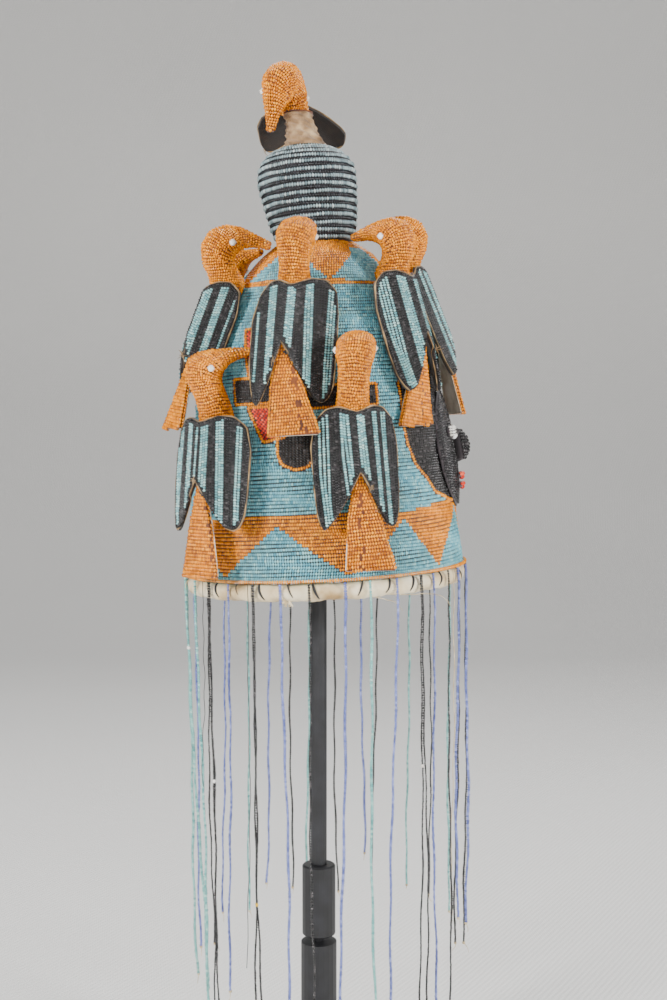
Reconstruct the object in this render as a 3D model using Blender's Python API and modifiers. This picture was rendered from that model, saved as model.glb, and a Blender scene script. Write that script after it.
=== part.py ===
"""Beaded crown on a display stand.

A bell of beaded cloth stands on a padded rim, carries a striped knob, eleven
birds and a raised face, and has a veil of bead strings round its edge. A plain
post with a round base holds it up.
"""

from collections import namedtuple
import math

import bmesh
import bpy
from mathutils import Matrix, Vector

MM = 0.001

# Play between pieces that touch, and between soft pieces pressed on a curved wall.
GAP = 0.4 * MM
PRESS_GAP = 0.55 * MM
SEAM_MERGE = 0.05 * MM

# The stand, from the floor up to the rim of the crown.
STAND_HEIGHT = 420 * MM
BASE_RADIUS = 110 * MM
BASE_THICKNESS = 12 * MM
BASE_EDGE = 2 * MM
TUBE_RADIUS = 14.5 * MM
TUBE_TO_RIM = 291 * MM
PIN_RADIUS = 4 * MM
PIN_HEIGHT = 5.5 * MM
COLLAR_RADIUS = 13.5 * MM
COLLAR_HEIGHT = 58 * MM
COLLAR_EDGE = 1.2 * MM
ROD_RADIUS = 6.5 * MM
HEAD_DISC_RADIUS = 21 * MM
HEAD_DISC_THICKNESS = 16 * MM
HEAD_DISC_EDGE = 3 * MM
BASE_SIDES = 40
POST_SIDES = 20
ROD_SIDES = 16
PIN_SIDES = 12

# The crown sits a little askew on its post.
CROWN_LEAN = math.radians(-2.75)
CROWN_OFFSET = 6.3 * MM

# The bell of beaded cloth, its padded rim and the bead edging above the rim.
BODY_HEIGHT = 257.6 * MM
BODY_RADIUS = 109.5 * MM
WALL = 3.5 * MM
RIM_ROLL = 14 * MM
RIM_ROLL_INSET = 5.5 * MM
RIM_ROLL_RADIUS = BODY_RADIUS - RIM_ROLL_INSET
EDGING = 3.2 * MM
ROUND_SIDES = 32
ROLL_SIDES = 8
EDGING_SIDES = 6

# The knob on top.
FINIAL_HEIGHT = 75.6 * MM
FINIAL_SHARE = 0.3516
FINIAL_RADIUS = FINIAL_SHARE * BODY_RADIUS
FINIAL_SIDES = 20

# Outlines of the bell and the knob: height and radius as shares of their own,
# then how far the soft wall leans over to the right, as a share of the radius.
Section = namedtuple("Section", "rise radius shift")
BODY_OUTLINE = (
    Section(0.000, 1.000, 0.000),
    Section(0.137, 0.976, 0.000),
    Section(0.333, 0.936, 0.000),
    Section(0.523, 0.877, 0.000),
    Section(0.643, 0.822, 0.000),
    Section(0.736, 0.744, 0.005),
    Section(0.818, 0.648, 0.011),
    Section(0.888, 0.543, 0.023),
    Section(0.925, 0.475, 0.036),
    Section(0.962, 0.402, 0.050),
    Section(0.989, 0.315, 0.036),
    Section(1.000, 0.265, 0.018),
)
FINIAL_OUTLINE = (
    Section(0.000, 0.740, 0.100),
    Section(0.048, 0.774, 0.100),
    Section(0.127, 0.857, 0.095),
    Section(0.378, 0.940, 0.050),
    Section(0.630, 1.000, 0.000),
    Section(0.775, 0.970, 0.000),
    Section(0.860, 0.870, 0.000),
    Section(0.934, 0.700, 0.000),
    Section(0.980, 0.480, 0.000),
    Section(1.000, 0.200, 0.000),
)

# A bird: padded head and neck, a saddle of two stiff wings, and a stiff tail.
HEAD_REACH = 50 * MM
HEAD_RISE = 52 * MM
HEAD_WIDTH = 30 * MM
BREAST_PRESS = 2 * MM
BREAST_LEAST = 9 * MM
LOBE_WIDTH = 40 * MM
WING_LENGTH = 94 * MM
WING_THICKNESS = 3 * MM
SPINE_ROUNDING = 12 * MM
WING_PLAY = 1.5 * MM
TAIL_LENGTH = 64 * MM
TAIL_ROOT = 14 * MM
TAIL_FOLLOW = 8 * MM
TAIL_ROOT_WIDTH = 7 * MM
TAIL_CLEARING = 14 * MM
TAIL_HEADROOM = 4 * MM
TAIL_PLAY = 1.4 * MM
TAIL_END_WIDTH = 36 * MM
TAIL_THICKNESS = 3.5 * MM
BIRD_SIDES = 10

# Rows of beads round the head, from the neck's foot to the beak's tip. Each row
# runs from the nape to the throat: places inward (shares of the reach) and
# upward (shares of the rise), then half the row's width (share of the width).
HeadRow = namedtuple("HeadRow", "nape_in nape_up throat_in throat_up half_width")
HEAD_ROWS = (
    HeadRow(-0.270, 0.000, 0.270, 0.000, 0.400),
    HeadRow(-0.315, 0.235, 0.165, 0.250, 0.365),
    HeadRow(-0.410, 0.455, 0.080, 0.455, 0.390),
    HeadRow(-0.480, 0.660, 0.070, 0.555, 0.470),
    HeadRow(-0.430, 0.830, 0.080, 0.605, 0.490),
    HeadRow(-0.270, 0.920, 0.095, 0.650, 0.470),
    HeadRow(-0.095, 0.945, 0.125, 0.700, 0.380),
    HeadRow(0.090, 0.960, 0.180, 0.760, 0.280),
    HeadRow(0.270, 0.980, 0.280, 0.815, 0.185),
    HeadRow(0.475, 1.000, 0.510, 0.900, 0.115),
)
NECK_TOP_ROW = 2
BEAK_ROOT_ROW = 6
HINGE_IN = 0.08
HINGE_UP = 0.60

# The breast under the wings: how far down it is, as a share of the way to the
# tail's root, and half its width as a share of the head's width.
BreastRow = namedtuple("BreastRow", "down half_width")
BREAST_ROWS = (
    BreastRow(1.27, 0.34),
    BreastRow(0.96, 0.48),
    BreastRow(0.64, 0.54),
    BreastRow(0.30, 0.48),
)

# Outline of one wing lobe: its outer edge from the spine at the top to the tip,
# then its inner edge from the tip to the notch. Each point is across for a broad
# tip and for a narrow one (shares of the lobe), and down: on the outer edge a
# share of the wing, on the inner edge a share of the way from notch to tip.
LobePoint = namedtuple("LobePoint", "broad narrow down")
OUTER_EDGE = (
    LobePoint(0.00, 0.00, 0.050),
    LobePoint(0.38, 0.36, 0.000),
    LobePoint(0.66, 0.62, 0.015),
    LobePoint(0.90, 0.86, 0.110),
    LobePoint(1.00, 0.97, 0.320),
    LobePoint(0.99, 0.95, 0.680),
    LobePoint(0.95, 0.92, 0.870),
    LobePoint(0.86, 0.86, 0.970),
    LobePoint(0.76, 0.80, 1.000),
)
INNER_EDGE = (
    LobePoint(0.60, 0.70, 0.920),
    LobePoint(0.43, 0.47, 0.680),
    LobePoint(0.20, 0.20, 0.310),
    LobePoint(0.00, 0.00, 0.000),
)
FOLD_LINES = (-0.55, -0.2, 0.0, 0.2, 0.55)

# The tail below its bend: how far along it, and there the shares of its widening
# and of its turn.
TailSection = namedtuple("TailSection", "along widening turn")
TAIL_SECTIONS = (
    TailSection(0.00, 0.02, 0.0),
    TailSection(0.22, 0.28, 0.2),
    TailSection(0.45, 0.55, 0.5),
    TailSection(0.72, 0.78, 0.8),
    TailSection(1.00, 1.00, 1.0),
)

# Each bird's place: where it is fastened, in degrees round the crown from the
# front and as a share of the bell's height; how far its back stands off the wall
# (share of the reach); which way its back faces and its head turns; how the
# wings lean and fold; where the notch is, down and sideways; how each tip tapers;
# the wings' width and length and the neck's length; how the head nods, leans
# forward and drifts sideways (shares of the reach); how the tail leans, turns and
# swings; and how far the wings' left and right shoulders droop.
Bird = namedtuple(
    "Bird",
    "name round rise stand_off facing head_turn wing_lean fold_left fold_right"
    " notch notch_sway taper_left taper_right wing_width wing_length"
    " neck nod forward drift tail_lean tail_turn tail_sway droop_left droop_right",
    defaults=(0.0, 0.0),
)
BIRDS = (
    Bird("bird_upper_left", -64, 0.880, 0.64, -77, 0, 23, 45, 59,
         0.50, 0.00, 0.0, 0.0, 1.14, 0.96, 0.28, 30, 0.16, 0.00, 18, -14, -0.07),
    Bird("bird_upper_front", -9, 0.861, 0.69, -4, 0, 14, 34, 42,
         0.49, -0.12, 1.0, 0.0, 1.00, 1.00, 0.37, 6, 0.00, 0.18, 16, 0, 0.12),
    Bird("bird_upper_right", 54, 0.884, 0.62, 60, 0, 14, 34, 40,
         0.50, 0.00, 0.0, 0.0, 1.10, 1.00, 0.24, 22, 0.12, 0.00, 0, 12, -0.26),
    Bird("bird_upper_far_right", 104, 0.922, 0.74, 106, 0, 20, 52, 44,
         0.55, 0.00, 0.5, 0.0, 1.00, 1.00, 0.24, 22, 0.12, 0.00, 9, 0, 0.00),
    Bird("bird_upper_back", 171, 0.880, 0.60, 173, 0, 17, 42, 38,
         0.52, 0.04, 0.0, 0.6, 1.00, 1.00, 0.33, 16, 0.10, -0.14, 14, 8, -0.08),
    Bird("bird_upper_far_left", -127, 0.848, 0.70, -128, 0, 16, 38, 42,
         0.50, 0.00, 0.3, 0.0, 1.00, 0.98, 0.30, 6, 0.18, 0.00, 9, 0, -0.04),
    Bird("bird_lower_left", -43.6, 0.484, 0.55, -44, -46, 6, 22, 27,
         0.55, -0.05, 0.5, 0.0, 1.04, 0.905, 0.44, 4, 0.04, 0.00, 6, 0, 0.02),
    Bird("bird_lower_front", 13.4, 0.492, 0.56, 10, 0, 4, 34, 38,
         0.53, 0.00, 1.0, 0.2, 1.00, 0.94, 0.54, 4, 0.00, 0.14, 6, 25, 0.05),
    Bird("bird_lower_back_right", 139, 0.490, 0.54, 137, 20, 5, 34, 30,
         0.52, 0.04, 0.2, 0.7, 1.00, 0.96, 0.46, 5, 0.02, 0.00, 6, -12, 0.03),
    Bird("bird_lower_back_left", -163, 0.486, 0.54, -160, -24, 5, 32, 34,
         0.54, -0.04, 0.0, 0.4, 1.02, 0.95, 0.48, 5, 0.02, 0.10, 6, 10, -0.03),
    Bird("bird_top", -170, 0.0, 0.0, 178, 0, 46, 26, 26,
         0.50, 0.00, 0.6, 0.6, 1.00, 0.53, 0.06, 112, 0.38, 0.46, 40, 0, 0.00, 0.65, 0.32),
)
TOP_BIRD = "bird_top"
TOP_STALK_HEIGHT = 26 * MM
TOP_STALK_FOOT_RADIUS = 16 * MM
TOP_STALK_TIP_RADIUS = 11 * MM
TOP_STALK_SWAY = -5 * MM
TOP_WING_RISE = 15 * MM
TOP_NAPE_CLEARING = 22 * MM
TOP_SEAT_ROW = 0.42
STALK_SIDES = 12

# The raised face on the right side, as places and sizes on the wall: round and
# up from the face's centre, half the width and height, and how far it stands out.
FACE_ROUND = 86
FACE_RISE = 0.356
FACE_HALF_WIDTH = 43 * MM
FACE_HALF_HEIGHT = 48 * MM
FACE_DEPTH = 5 * MM
PAD_SIDES = 16
PAD_ROWS = 10
FEATURE_SIDES = 10
FEATURE_ROWS = 6
Feature = namedtuple("Feature", "name across up half_width half_height depth")
FEATURES = (
    Feature("face_nose", 0.00, 0.04, 0.17, 0.30, 11 * MM),
    Feature("face_eye_left", -0.44, 0.26, 0.22, 0.13, 5 * MM),
    Feature("face_eye_right", 0.44, 0.26, 0.22, 0.13, 5 * MM),
    Feature("face_lip_upper", 0.00, -0.46, 0.34, 0.065, 4 * MM),
    Feature("face_lip_lower", 0.00, -0.62, 0.29, 0.070, 4 * MM),
)

# The veil: bead strings, each with its place round the rim in degrees, how far
# it hangs below the rim, and how far it has swung to the right at its end. A
# string leaves the roll's side at one height and clears its foot at another,
# both as shares of the roll.
STRING_RADIUS = 1.25 * MM
VEIL_LENGTH = 340 * MM
ROLL_SIDE = 0.62
ROLL_FOOT = -0.10
String = namedtuple("String", "round length sway")
STRINGS = (
    String(-80, 0.93, 0.045),
    String(-63, 0.96, 0.030),
    String(-51, 0.97, 0.012),
    String(-40, 0.86, 0.003),
    String(-28, 0.99, 0.006),
    String(-17, 0.91, 0.022),
    String(-6, 0.89, 0.006),
    String(7.5, 1.00, -0.010),
    String(17, 0.99, 0.008),
    String(28, 0.98, -0.020),
    String(39, 0.96, 0.004),
    String(46, 0.93, 0.004),
    String(56, 0.95, 0.006),
    String(65, 0.76, -0.004),
    String(78, 0.80, 0.006),
    String(94, 0.88, 0.004),
    String(104, 0.90, -0.006),
    String(114, 0.84, -0.004),
    String(129, 0.82, 0.006),
    String(141, 0.81, -0.002),
    String(157, 0.80, -0.012),
    String(165, 0.74, 0.010),
    String(177, 0.84, 0.006),
    String(-172, 0.88, -0.006),
    String(-163, 0.82, 0.004),
    String(-154, 0.80, -0.012),
    String(-142, 0.86, 0.006),
    String(-129, 0.84, -0.004),
    String(-117, 0.90, 0.010),
    String(-105, 0.88, 0.012),
    String(-92, 0.92, 0.020),
)

BODY_FOOT = RIM_ROLL + GAP
BODY_TOP = BODY_FOOT + BODY_HEIGHT
FINIAL_FOOT = BODY_TOP + GAP
FINIAL_TOP = FINIAL_FOOT + FINIAL_HEIGHT


for leftover in list(bpy.data.objects):
    bpy.data.objects.remove(leftover, do_unlink=True)

crown_parts = bpy.data.collections.new("beaded_crown")
cutters = bpy.data.collections.new("cutters")
bpy.context.scene.collection.children.link(crown_parts)
bpy.context.scene.collection.children.link(cutters)


def material(name, colour, roughness, metallic=0.0):
    made = bpy.data.materials.new(name)
    made.use_nodes = True
    shader = made.node_tree.nodes["Principled BSDF"]
    shader.inputs["Base Color"].default_value = (*colour, 1.0)
    shader.inputs["Roughness"].default_value = roughness
    shader.inputs["Metallic"].default_value = metallic
    return made


BLUE_BEADS = material("sky_blue_beads", (0.21, 0.48, 0.58), 0.35)
ORANGE_BEADS = material("orange_beads", (0.82, 0.29, 0.03), 0.35)
BLACK_BEADS = material("black_beads", (0.02, 0.015, 0.02), 0.3)
PALE_BEADS = material("pale_beads", (0.48, 0.58, 0.58), 0.35)
RED_BEADS = material("red_beads", (0.62, 0.07, 0.04), 0.35)
WHITE_BEADS = material("white_beads", (0.85, 0.83, 0.78), 0.3)
VEIL_BEADS = material("periwinkle_beads", (0.27, 0.31, 0.66), 0.3)
CREAM_CLOTH = material("cream_cotton", (0.78, 0.69, 0.53), 0.9)
BROWN_CLOTH = material("brown_cotton", (0.33, 0.20, 0.10), 0.9)
BLACK_METAL = material("black_painted_steel", (0.01, 0.01, 0.01), 0.45)


def empty(name, parent=None, location=(0, 0, 0), rotation=(0, 0, 0)):
    made = bpy.data.objects.new(name, None)
    crown_parts.objects.link(made)
    made.parent = parent
    made.location = location
    made.rotation_euler = rotation
    return made


def piece(name, mesh, finish, parent):
    mesh.materials.clear()
    mesh.materials.append(finish)
    made = bpy.data.objects.new(name, mesh)
    crown_parts.objects.link(made)
    made.parent = parent
    return made


def mesh_of(shape, name):
    """The evaluated mesh of a helper object, which is then removed."""
    graph = bpy.context.evaluated_depsgraph_get()
    mesh = bpy.data.meshes.new_from_object(shape.evaluated_get(graph))
    mesh.name = name
    bpy.data.objects.remove(shape, do_unlink=True)
    return mesh


def turned(name, outline, sides):
    """Mesh turned from (radius, height) points that run down its outer side."""
    bm = bmesh.new()
    points = [bm.verts.new((radius, 0, height)) for radius, height in outline]
    for upper, lower in zip(points, points[1:]):
        bm.edges.new((upper, lower))
    profile = bpy.data.meshes.new(name + "_profile")
    bm.to_mesh(profile)
    bm.free()
    shape = bpy.data.objects.new(name + "_profile", profile)
    crown_parts.objects.link(shape)
    screw = shape.modifiers.new("turn", "SCREW")
    screw.steps = sides
    screw.render_steps = sides
    screw.use_merge_vertices = True
    screw.merge_threshold = SEAM_MERGE
    return mesh_of(shape, name)


def lofted(name, rings):
    """Mesh through rings of as many points each, closed at both ends."""
    bm = bmesh.new()
    rows = [[bm.verts.new(point) for point in ring] for ring in rings]
    for lower, upper in zip(rows, rows[1:]):
        for k in range(len(lower)):
            after = (k + 1) % len(lower)
            bm.faces.new((lower[k], lower[after], upper[after], upper[k]))
    bm.faces.new(rows[0])
    bm.faces.new(rows[-1])
    bmesh.ops.recalc_face_normals(bm, faces=bm.faces)
    mesh = bpy.data.meshes.new(name)
    bm.to_mesh(mesh)
    bm.free()
    mesh.shade_smooth()
    return mesh


def between(sections, rise):
    """Radius share and shift share of an outline at a share of its height."""
    rise = min(max(rise, sections[0].rise), sections[-1].rise)
    for lower, upper in zip(sections, sections[1:]):
        if rise <= upper.rise:
            part = (rise - lower.rise) / (upper.rise - lower.rise)
            radius = lower.radius + part * (upper.radius - lower.radius)
            shift = lower.shift + part * (upper.shift - lower.shift)
            return radius, shift
    return sections[-1].radius, sections[-1].shift


def crown_at(height):
    """Outer radius of the crown at a height, and how far its centre is shifted."""
    if height <= BODY_TOP:
        radius, shift = between(BODY_OUTLINE, (height - BODY_FOOT) / BODY_HEIGHT)
        return radius * BODY_RADIUS, shift * BODY_RADIUS
    radius, shift = between(FINIAL_OUTLINE, (height - FINIAL_FOOT) / FINIAL_HEIGHT)
    return radius * FINIAL_RADIUS, shift * FINIAL_RADIUS


def on_wall(round_degrees, height, out=0.0):
    """Point at an angle round the crown from the front, out from its surface."""
    radius, shift = crown_at(height)
    turn = math.radians(round_degrees)
    reach = radius + out
    return Vector((shift + reach * math.sin(turn), -reach * math.cos(turn), height))


def clear_of_crown(point, play):
    """The point, moved out from the crown's axis until it is clear of the crown."""
    if point.z > FINIAL_TOP:
        return point
    radius, shift = crown_at(point.z)
    least = radius + play
    across = Vector((point.x - shift, point.y))
    if across.length >= least:
        return point
    across = across.normalized() * least
    return Vector((shift + across.x, across.y, point.z))


# Two empties carry everything: the post's foot on the floor, and the crown's rim.
post_foot = empty("post_foot")
crown_seat = empty(
    "crown_seat",
    location=(CROWN_OFFSET, 0, STAND_HEIGHT),
    rotation=(0, CROWN_LEAN, 0),
)
bpy.context.view_layer.update()


# The stand: a round base, a tube, a pin, a collar, a rod and a disc on its top.
def edged_cylinder(name, radius, low, high, sides, edge, parent):
    """Upright cylinder from low to high with its rims rounded by one facet."""
    bm = bmesh.new()
    bmesh.ops.create_cone(
        bm,
        cap_ends=True,
        segments=sides,
        radius1=radius,
        radius2=radius,
        depth=high - low,
    )
    bmesh.ops.translate(bm, verts=bm.verts, vec=(0, 0, (low + high) / 2))
    mesh = bpy.data.meshes.new(name)
    bm.to_mesh(mesh)
    bm.free()
    made = piece(name, mesh, BLACK_METAL, parent)
    if edge:
        rounded = made.modifiers.new("rounded_rims", "BEVEL")
        rounded.width = edge
        rounded.segments = 1
        rounded.limit_method = "ANGLE"
    mesh.shade_smooth()
    mesh.set_sharp_from_angle(angle=math.radians(35))
    return made


tube_top = STAND_HEIGHT - TUBE_TO_RIM
collar_foot = tube_top + PIN_HEIGHT
collar_top = collar_foot + COLLAR_HEIGHT
disc_top = BODY_TOP - WALL - GAP
disc_foot = disc_top - HEAD_DISC_THICKNESS
disc_foot_centre = crown_seat.matrix_world @ Vector((0, 0, disc_foot))
rod_top = (
    disc_foot_centre.z
    + disc_foot_centre.x * math.tan(CROWN_LEAN)
    - ROD_RADIUS * math.tan(abs(CROWN_LEAN))
    - GAP
)

edged_cylinder(
    "stand_base", BASE_RADIUS, 0, BASE_THICKNESS, BASE_SIDES, BASE_EDGE, post_foot
)
edged_cylinder(
    "stand_tube", TUBE_RADIUS, BASE_THICKNESS + GAP, tube_top, POST_SIDES, 0, post_foot
)
edged_cylinder(
    "stand_pin", PIN_RADIUS, tube_top + GAP, collar_foot - GAP, PIN_SIDES, 0, post_foot
)
edged_cylinder(
    "stand_collar",
    COLLAR_RADIUS,
    collar_foot,
    collar_top,
    POST_SIDES,
    COLLAR_EDGE,
    post_foot,
)
edged_cylinder(
    "stand_rod", ROD_RADIUS, collar_top + GAP, rod_top, ROD_SIDES, 0, post_foot
)
edged_cylinder(
    "stand_head",
    HEAD_DISC_RADIUS,
    disc_foot,
    disc_top,
    POST_SIDES,
    HEAD_DISC_EDGE,
    crown_seat,
)


# The padded rim roll that the crown rests on.
bpy.ops.mesh.primitive_torus_add(
    major_radius=RIM_ROLL_RADIUS,
    minor_radius=RIM_ROLL / 2,
    major_segments=ROUND_SIDES,
    minor_segments=ROLL_SIDES,
    location=(0, 0, 0),
)
torus = bpy.context.active_object
torus.data.transform(Matrix.Translation((0, 0, RIM_ROLL / 2)))
piece("rim_roll", mesh_of(torus, "rim_roll"), CREAM_CLOTH, crown_seat)


# The bell: an open surface turned from its outline, leaned over at the dome, and
# given the thickness of the beaded cloth.
bell_outline = [(0.0, BODY_TOP)]
for section in reversed(BODY_OUTLINE):
    bell_outline.append(
        (section.radius * BODY_RADIUS, BODY_FOOT + section.rise * BODY_HEIGHT)
    )
bell = turned("crown_shell", bell_outline, ROUND_SIDES)
for vertex in bell.vertices:
    vertex.co.x += crown_at(vertex.co.z)[1]
bell.shade_smooth()
shell = piece("crown_shell", bell, BLUE_BEADS, crown_seat)
cloth = shell.modifiers.new("cloth", "SOLIDIFY")
cloth.thickness = WALL
cloth.offset = -1


# The striped knob.
knob_outline = [(0.0, FINIAL_TOP)]
for section in reversed(FINIAL_OUTLINE):
    knob_outline.append(
        (section.radius * FINIAL_RADIUS, FINIAL_FOOT + section.rise * FINIAL_HEIGHT)
    )
knob_outline.append((0.0, FINIAL_FOOT))
knob = turned("finial", knob_outline, FINIAL_SIDES)
for vertex in knob.vertices:
    vertex.co.x += crown_at(max(vertex.co.z, FINIAL_FOOT))[1]
knob.shade_smooth()
piece("finial", knob, PALE_BEADS, crown_seat)


# The birds. Each is built in its own place: X to the right along the wings, Y
# inward from the wings' outer face, Z up from the wings' top edge.
def bird_place(bird):
    """Matrix from the bird's own axes to the crown's."""
    if bird.name == TOP_BIRD:
        height = FINIAL_TOP + GAP + TOP_STALK_HEIGHT + GAP + TOP_WING_RISE
        stand_off = WING_THICKNESS + GAP - HEAD_ROWS[0].nape_in * HEAD_REACH
        turn = math.radians(bird.round)
        spot = Vector((math.sin(turn), -math.cos(turn), 0)) * stand_off
        spot.z = height
    else:
        height = BODY_FOOT + bird.rise * BODY_HEIGHT
        spot = on_wall(bird.round, height, bird.stand_off * HEAD_REACH)
    turn = Matrix.Rotation(math.radians(bird.facing), 4, "Z")
    return Matrix.Translation(spot) @ turn


def spine_at(bird, down):
    """How far the spine has swayed to the right by this far down the wings."""
    sway = bird.notch_sway * 2 * LOBE_WIDTH * bird.wing_width
    notch = bird.notch * WING_LENGTH * bird.wing_length
    return sway * min(max(down / notch, 0), 1)


def fold_of(bird, across):
    return math.radians(bird.fold_left if across < 0 else bird.fold_right)


def folded(bird, across, down):
    """Point of the wings' outer face, from its place in the flat saddle."""
    fold = fold_of(bird, across)
    slant = math.hypot(across, SPINE_ROUNDING)
    sideways = across * (1 - (1 - math.cos(fold)) * abs(across) / slant)
    sideways += spine_at(bird, down)
    inward = (slant - SPINE_ROUNDING) * math.sin(fold)
    lean = math.radians(bird.wing_lean)
    return Vector((sideways, inward - down * math.sin(lean), -down * math.cos(lean)))


def under_wings(bird, sideways, height):
    """Least depth at which a piece is clear of the wings' inner face."""
    lean = math.radians(bird.wing_lean)
    sideways -= spine_at(bird, -height / math.cos(lean))
    fold = fold_of(bird, sideways)
    across = sideways / math.cos(fold)
    slant = math.hypot(across, SPINE_ROUNDING)
    inward = (slant - SPINE_ROUNDING) * math.sin(fold)
    steepness = abs(across) / slant * math.tan(fold)
    thickness = WING_THICKNESS * math.hypot(1, steepness) / math.cos(lean)
    return inward + thickness + GAP + height * math.tan(lean)


def wings_outline(bird):
    """Flat outline of both lobes as (across, down) points, round from the spine."""
    lobe = LOBE_WIDTH * bird.wing_width
    length = WING_LENGTH * bird.wing_length
    edge = [(point, point.down) for point in OUTER_EDGE]
    for point in INNER_EDGE:
        edge.append((point, bird.notch + point.down * (1 - bird.notch)))
    lines = []
    for side, taper, droop in (
        (1, bird.taper_right, bird.droop_right),
        (-1, bird.taper_left, bird.droop_left),
    ):
        width = lobe - side * spine_at(bird, length)
        line = []
        for point, down in edge:
            share = point.broad + taper * (point.narrow - point.broad)
            lowered = down + droop * share * (1 - down)
            line.append((side * share * width, lowered * length))
        lines.append(line)
    right, left = lines
    return right + left[-2:0:-1]


def tail_start(bird):
    """How far down the wings the tail's root begins."""
    return bird.notch * WING_LENGTH * bird.wing_length - TAIL_ROOT


def tail_depth(bird, height):
    """Depth of the tail root's outer face under the wings."""
    middle = spine_at(bird, -height)
    edge = TAIL_ROOT_WIDTH / 2 + GAP
    deepest = max(under_wings(bird, middle + side * edge, height) for side in (-1, 0, 1))
    return deepest + TAIL_PLAY


def build_wings(bird, place):
    outline = wings_outline(bird)
    lobe = LOBE_WIDTH * bird.wing_width
    bm = bmesh.new()
    bm.faces.new([bm.verts.new((across, 0, -down)) for across, down in outline])
    for line in FOLD_LINES:
        bmesh.ops.bisect_plane(
            bm,
            geom=bm.verts[:] + bm.edges[:] + bm.faces[:],
            plane_co=(line * lobe, 0, 0),
            plane_no=(1, 0, 0),
        )
    bm.normal_update()
    inward_facing = [face for face in bm.faces if face.normal.y > 0]
    bmesh.ops.reverse_faces(bm, faces=inward_facing)
    for vertex in bm.verts:
        spot = place @ folded(bird, vertex.co.x, -vertex.co.z)
        vertex.co = clear_of_crown(spot, WING_THICKNESS + WING_PLAY)
    mesh = bpy.data.meshes.new(bird.name + "_wings")
    bm.to_mesh(mesh)
    bm.free()
    wings = piece(bird.name + "_wings", mesh, BLACK_BEADS, crown_seat)
    plate = wings.modifiers.new("stiffened_cloth", "SOLIDIFY")
    plate.thickness = WING_THICKNESS
    plate.offset = -1
    return wings


def build_tail(bird, place):
    lean = math.radians(bird.wing_lean)
    hang = math.radians(bird.tail_lean)
    turn = math.radians(bird.tail_turn)
    start = tail_start(bird)
    top = Vector((spine_at(bird, start), 0, -start * math.cos(lean)))
    top.y = tail_depth(bird, top.z)
    along_wing = Vector((0, -math.sin(lean), -math.cos(lean)))
    bend = top + along_wing * (TAIL_ROOT + TAIL_FOLLOW)
    bend.x = spine_at(bird, start + TAIL_ROOT)
    drop = Vector((bird.tail_sway, -math.sin(hang), -math.cos(hang)))
    stations = [(top, TAIL_ROOT_WIDTH, 0.0)]
    for section in TAIL_SECTIONS:
        wide = section.widening * (TAIL_END_WIDTH - TAIL_ROOT_WIDTH) + TAIL_ROOT_WIDTH
        spot = bend + drop * TAIL_LENGTH * section.along
        stations.append((spot, wide, section.turn * turn))
    rings = []
    for spot, wide, twist in stations:
        along = Vector((math.cos(twist), -math.sin(twist), 0)) * (wide / 2)
        through = Vector((math.sin(twist), math.cos(twist), 0)) * TAIL_THICKNESS
        chord_rise = wide * wide / (8 * crown_at((place @ spot).z)[0])
        outer = [
            clear_of_crown(place @ corner, chord_rise + TAIL_THICKNESS + PRESS_GAP)
            for corner in (spot - along, spot + along)
        ]
        inner = [
            clear_of_crown(place @ corner, chord_rise + PRESS_GAP)
            for corner in (spot + along + through, spot - along + through)
        ]
        rings.append(outer + inner)
    return piece(
        bird.name + "_tail", lofted(bird.name + "_tail", rings), ORANGE_BEADS, crown_seat
    )


def row_points(centre, nape, half_width, side_axis):
    """Points of an oval row: nape is the half axis in the bird's middle plane."""
    points = []
    for k in range(BIRD_SIDES):
        turn = 2 * math.pi * k / BIRD_SIDES
        points.append(
            centre + nape * math.cos(turn) + side_axis * (half_width * math.sin(turn))
        )
    return points


def breast_rings(bird, place):
    """Rows of the breast, from the lowest up, pressed between wings and wall."""
    rings = []
    lean = math.radians(bird.wing_lean)
    inward = place.to_3x3() @ Vector((0, 1, 0))
    for row in BREAST_ROWS:
        down = row.down * tail_start(bird)
        height = -down * math.cos(lean)
        outer = under_wings(bird, 0, height)
        spot = place @ Vector((0, outer, height))
        radius, shift = crown_at(spot.z)
        aim = Vector((spot.x - shift, spot.y))
        toward = aim.x * inward.x + aim.y * inward.y
        reach = toward * toward - aim.length_squared + radius * radius
        depth = -toward - math.sqrt(max(reach, 0.0)) + BREAST_PRESS
        inner = outer + max(depth, BREAST_LEAST)
        centre = Vector((0, (outer + inner) / 2, height))
        nape = Vector((0, (outer - inner) / 2, 0))
        half = row.half_width * HEAD_WIDTH
        rings.append(row_points(centre, nape, half, Vector((1, 0, 0))))
    return rings


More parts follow.
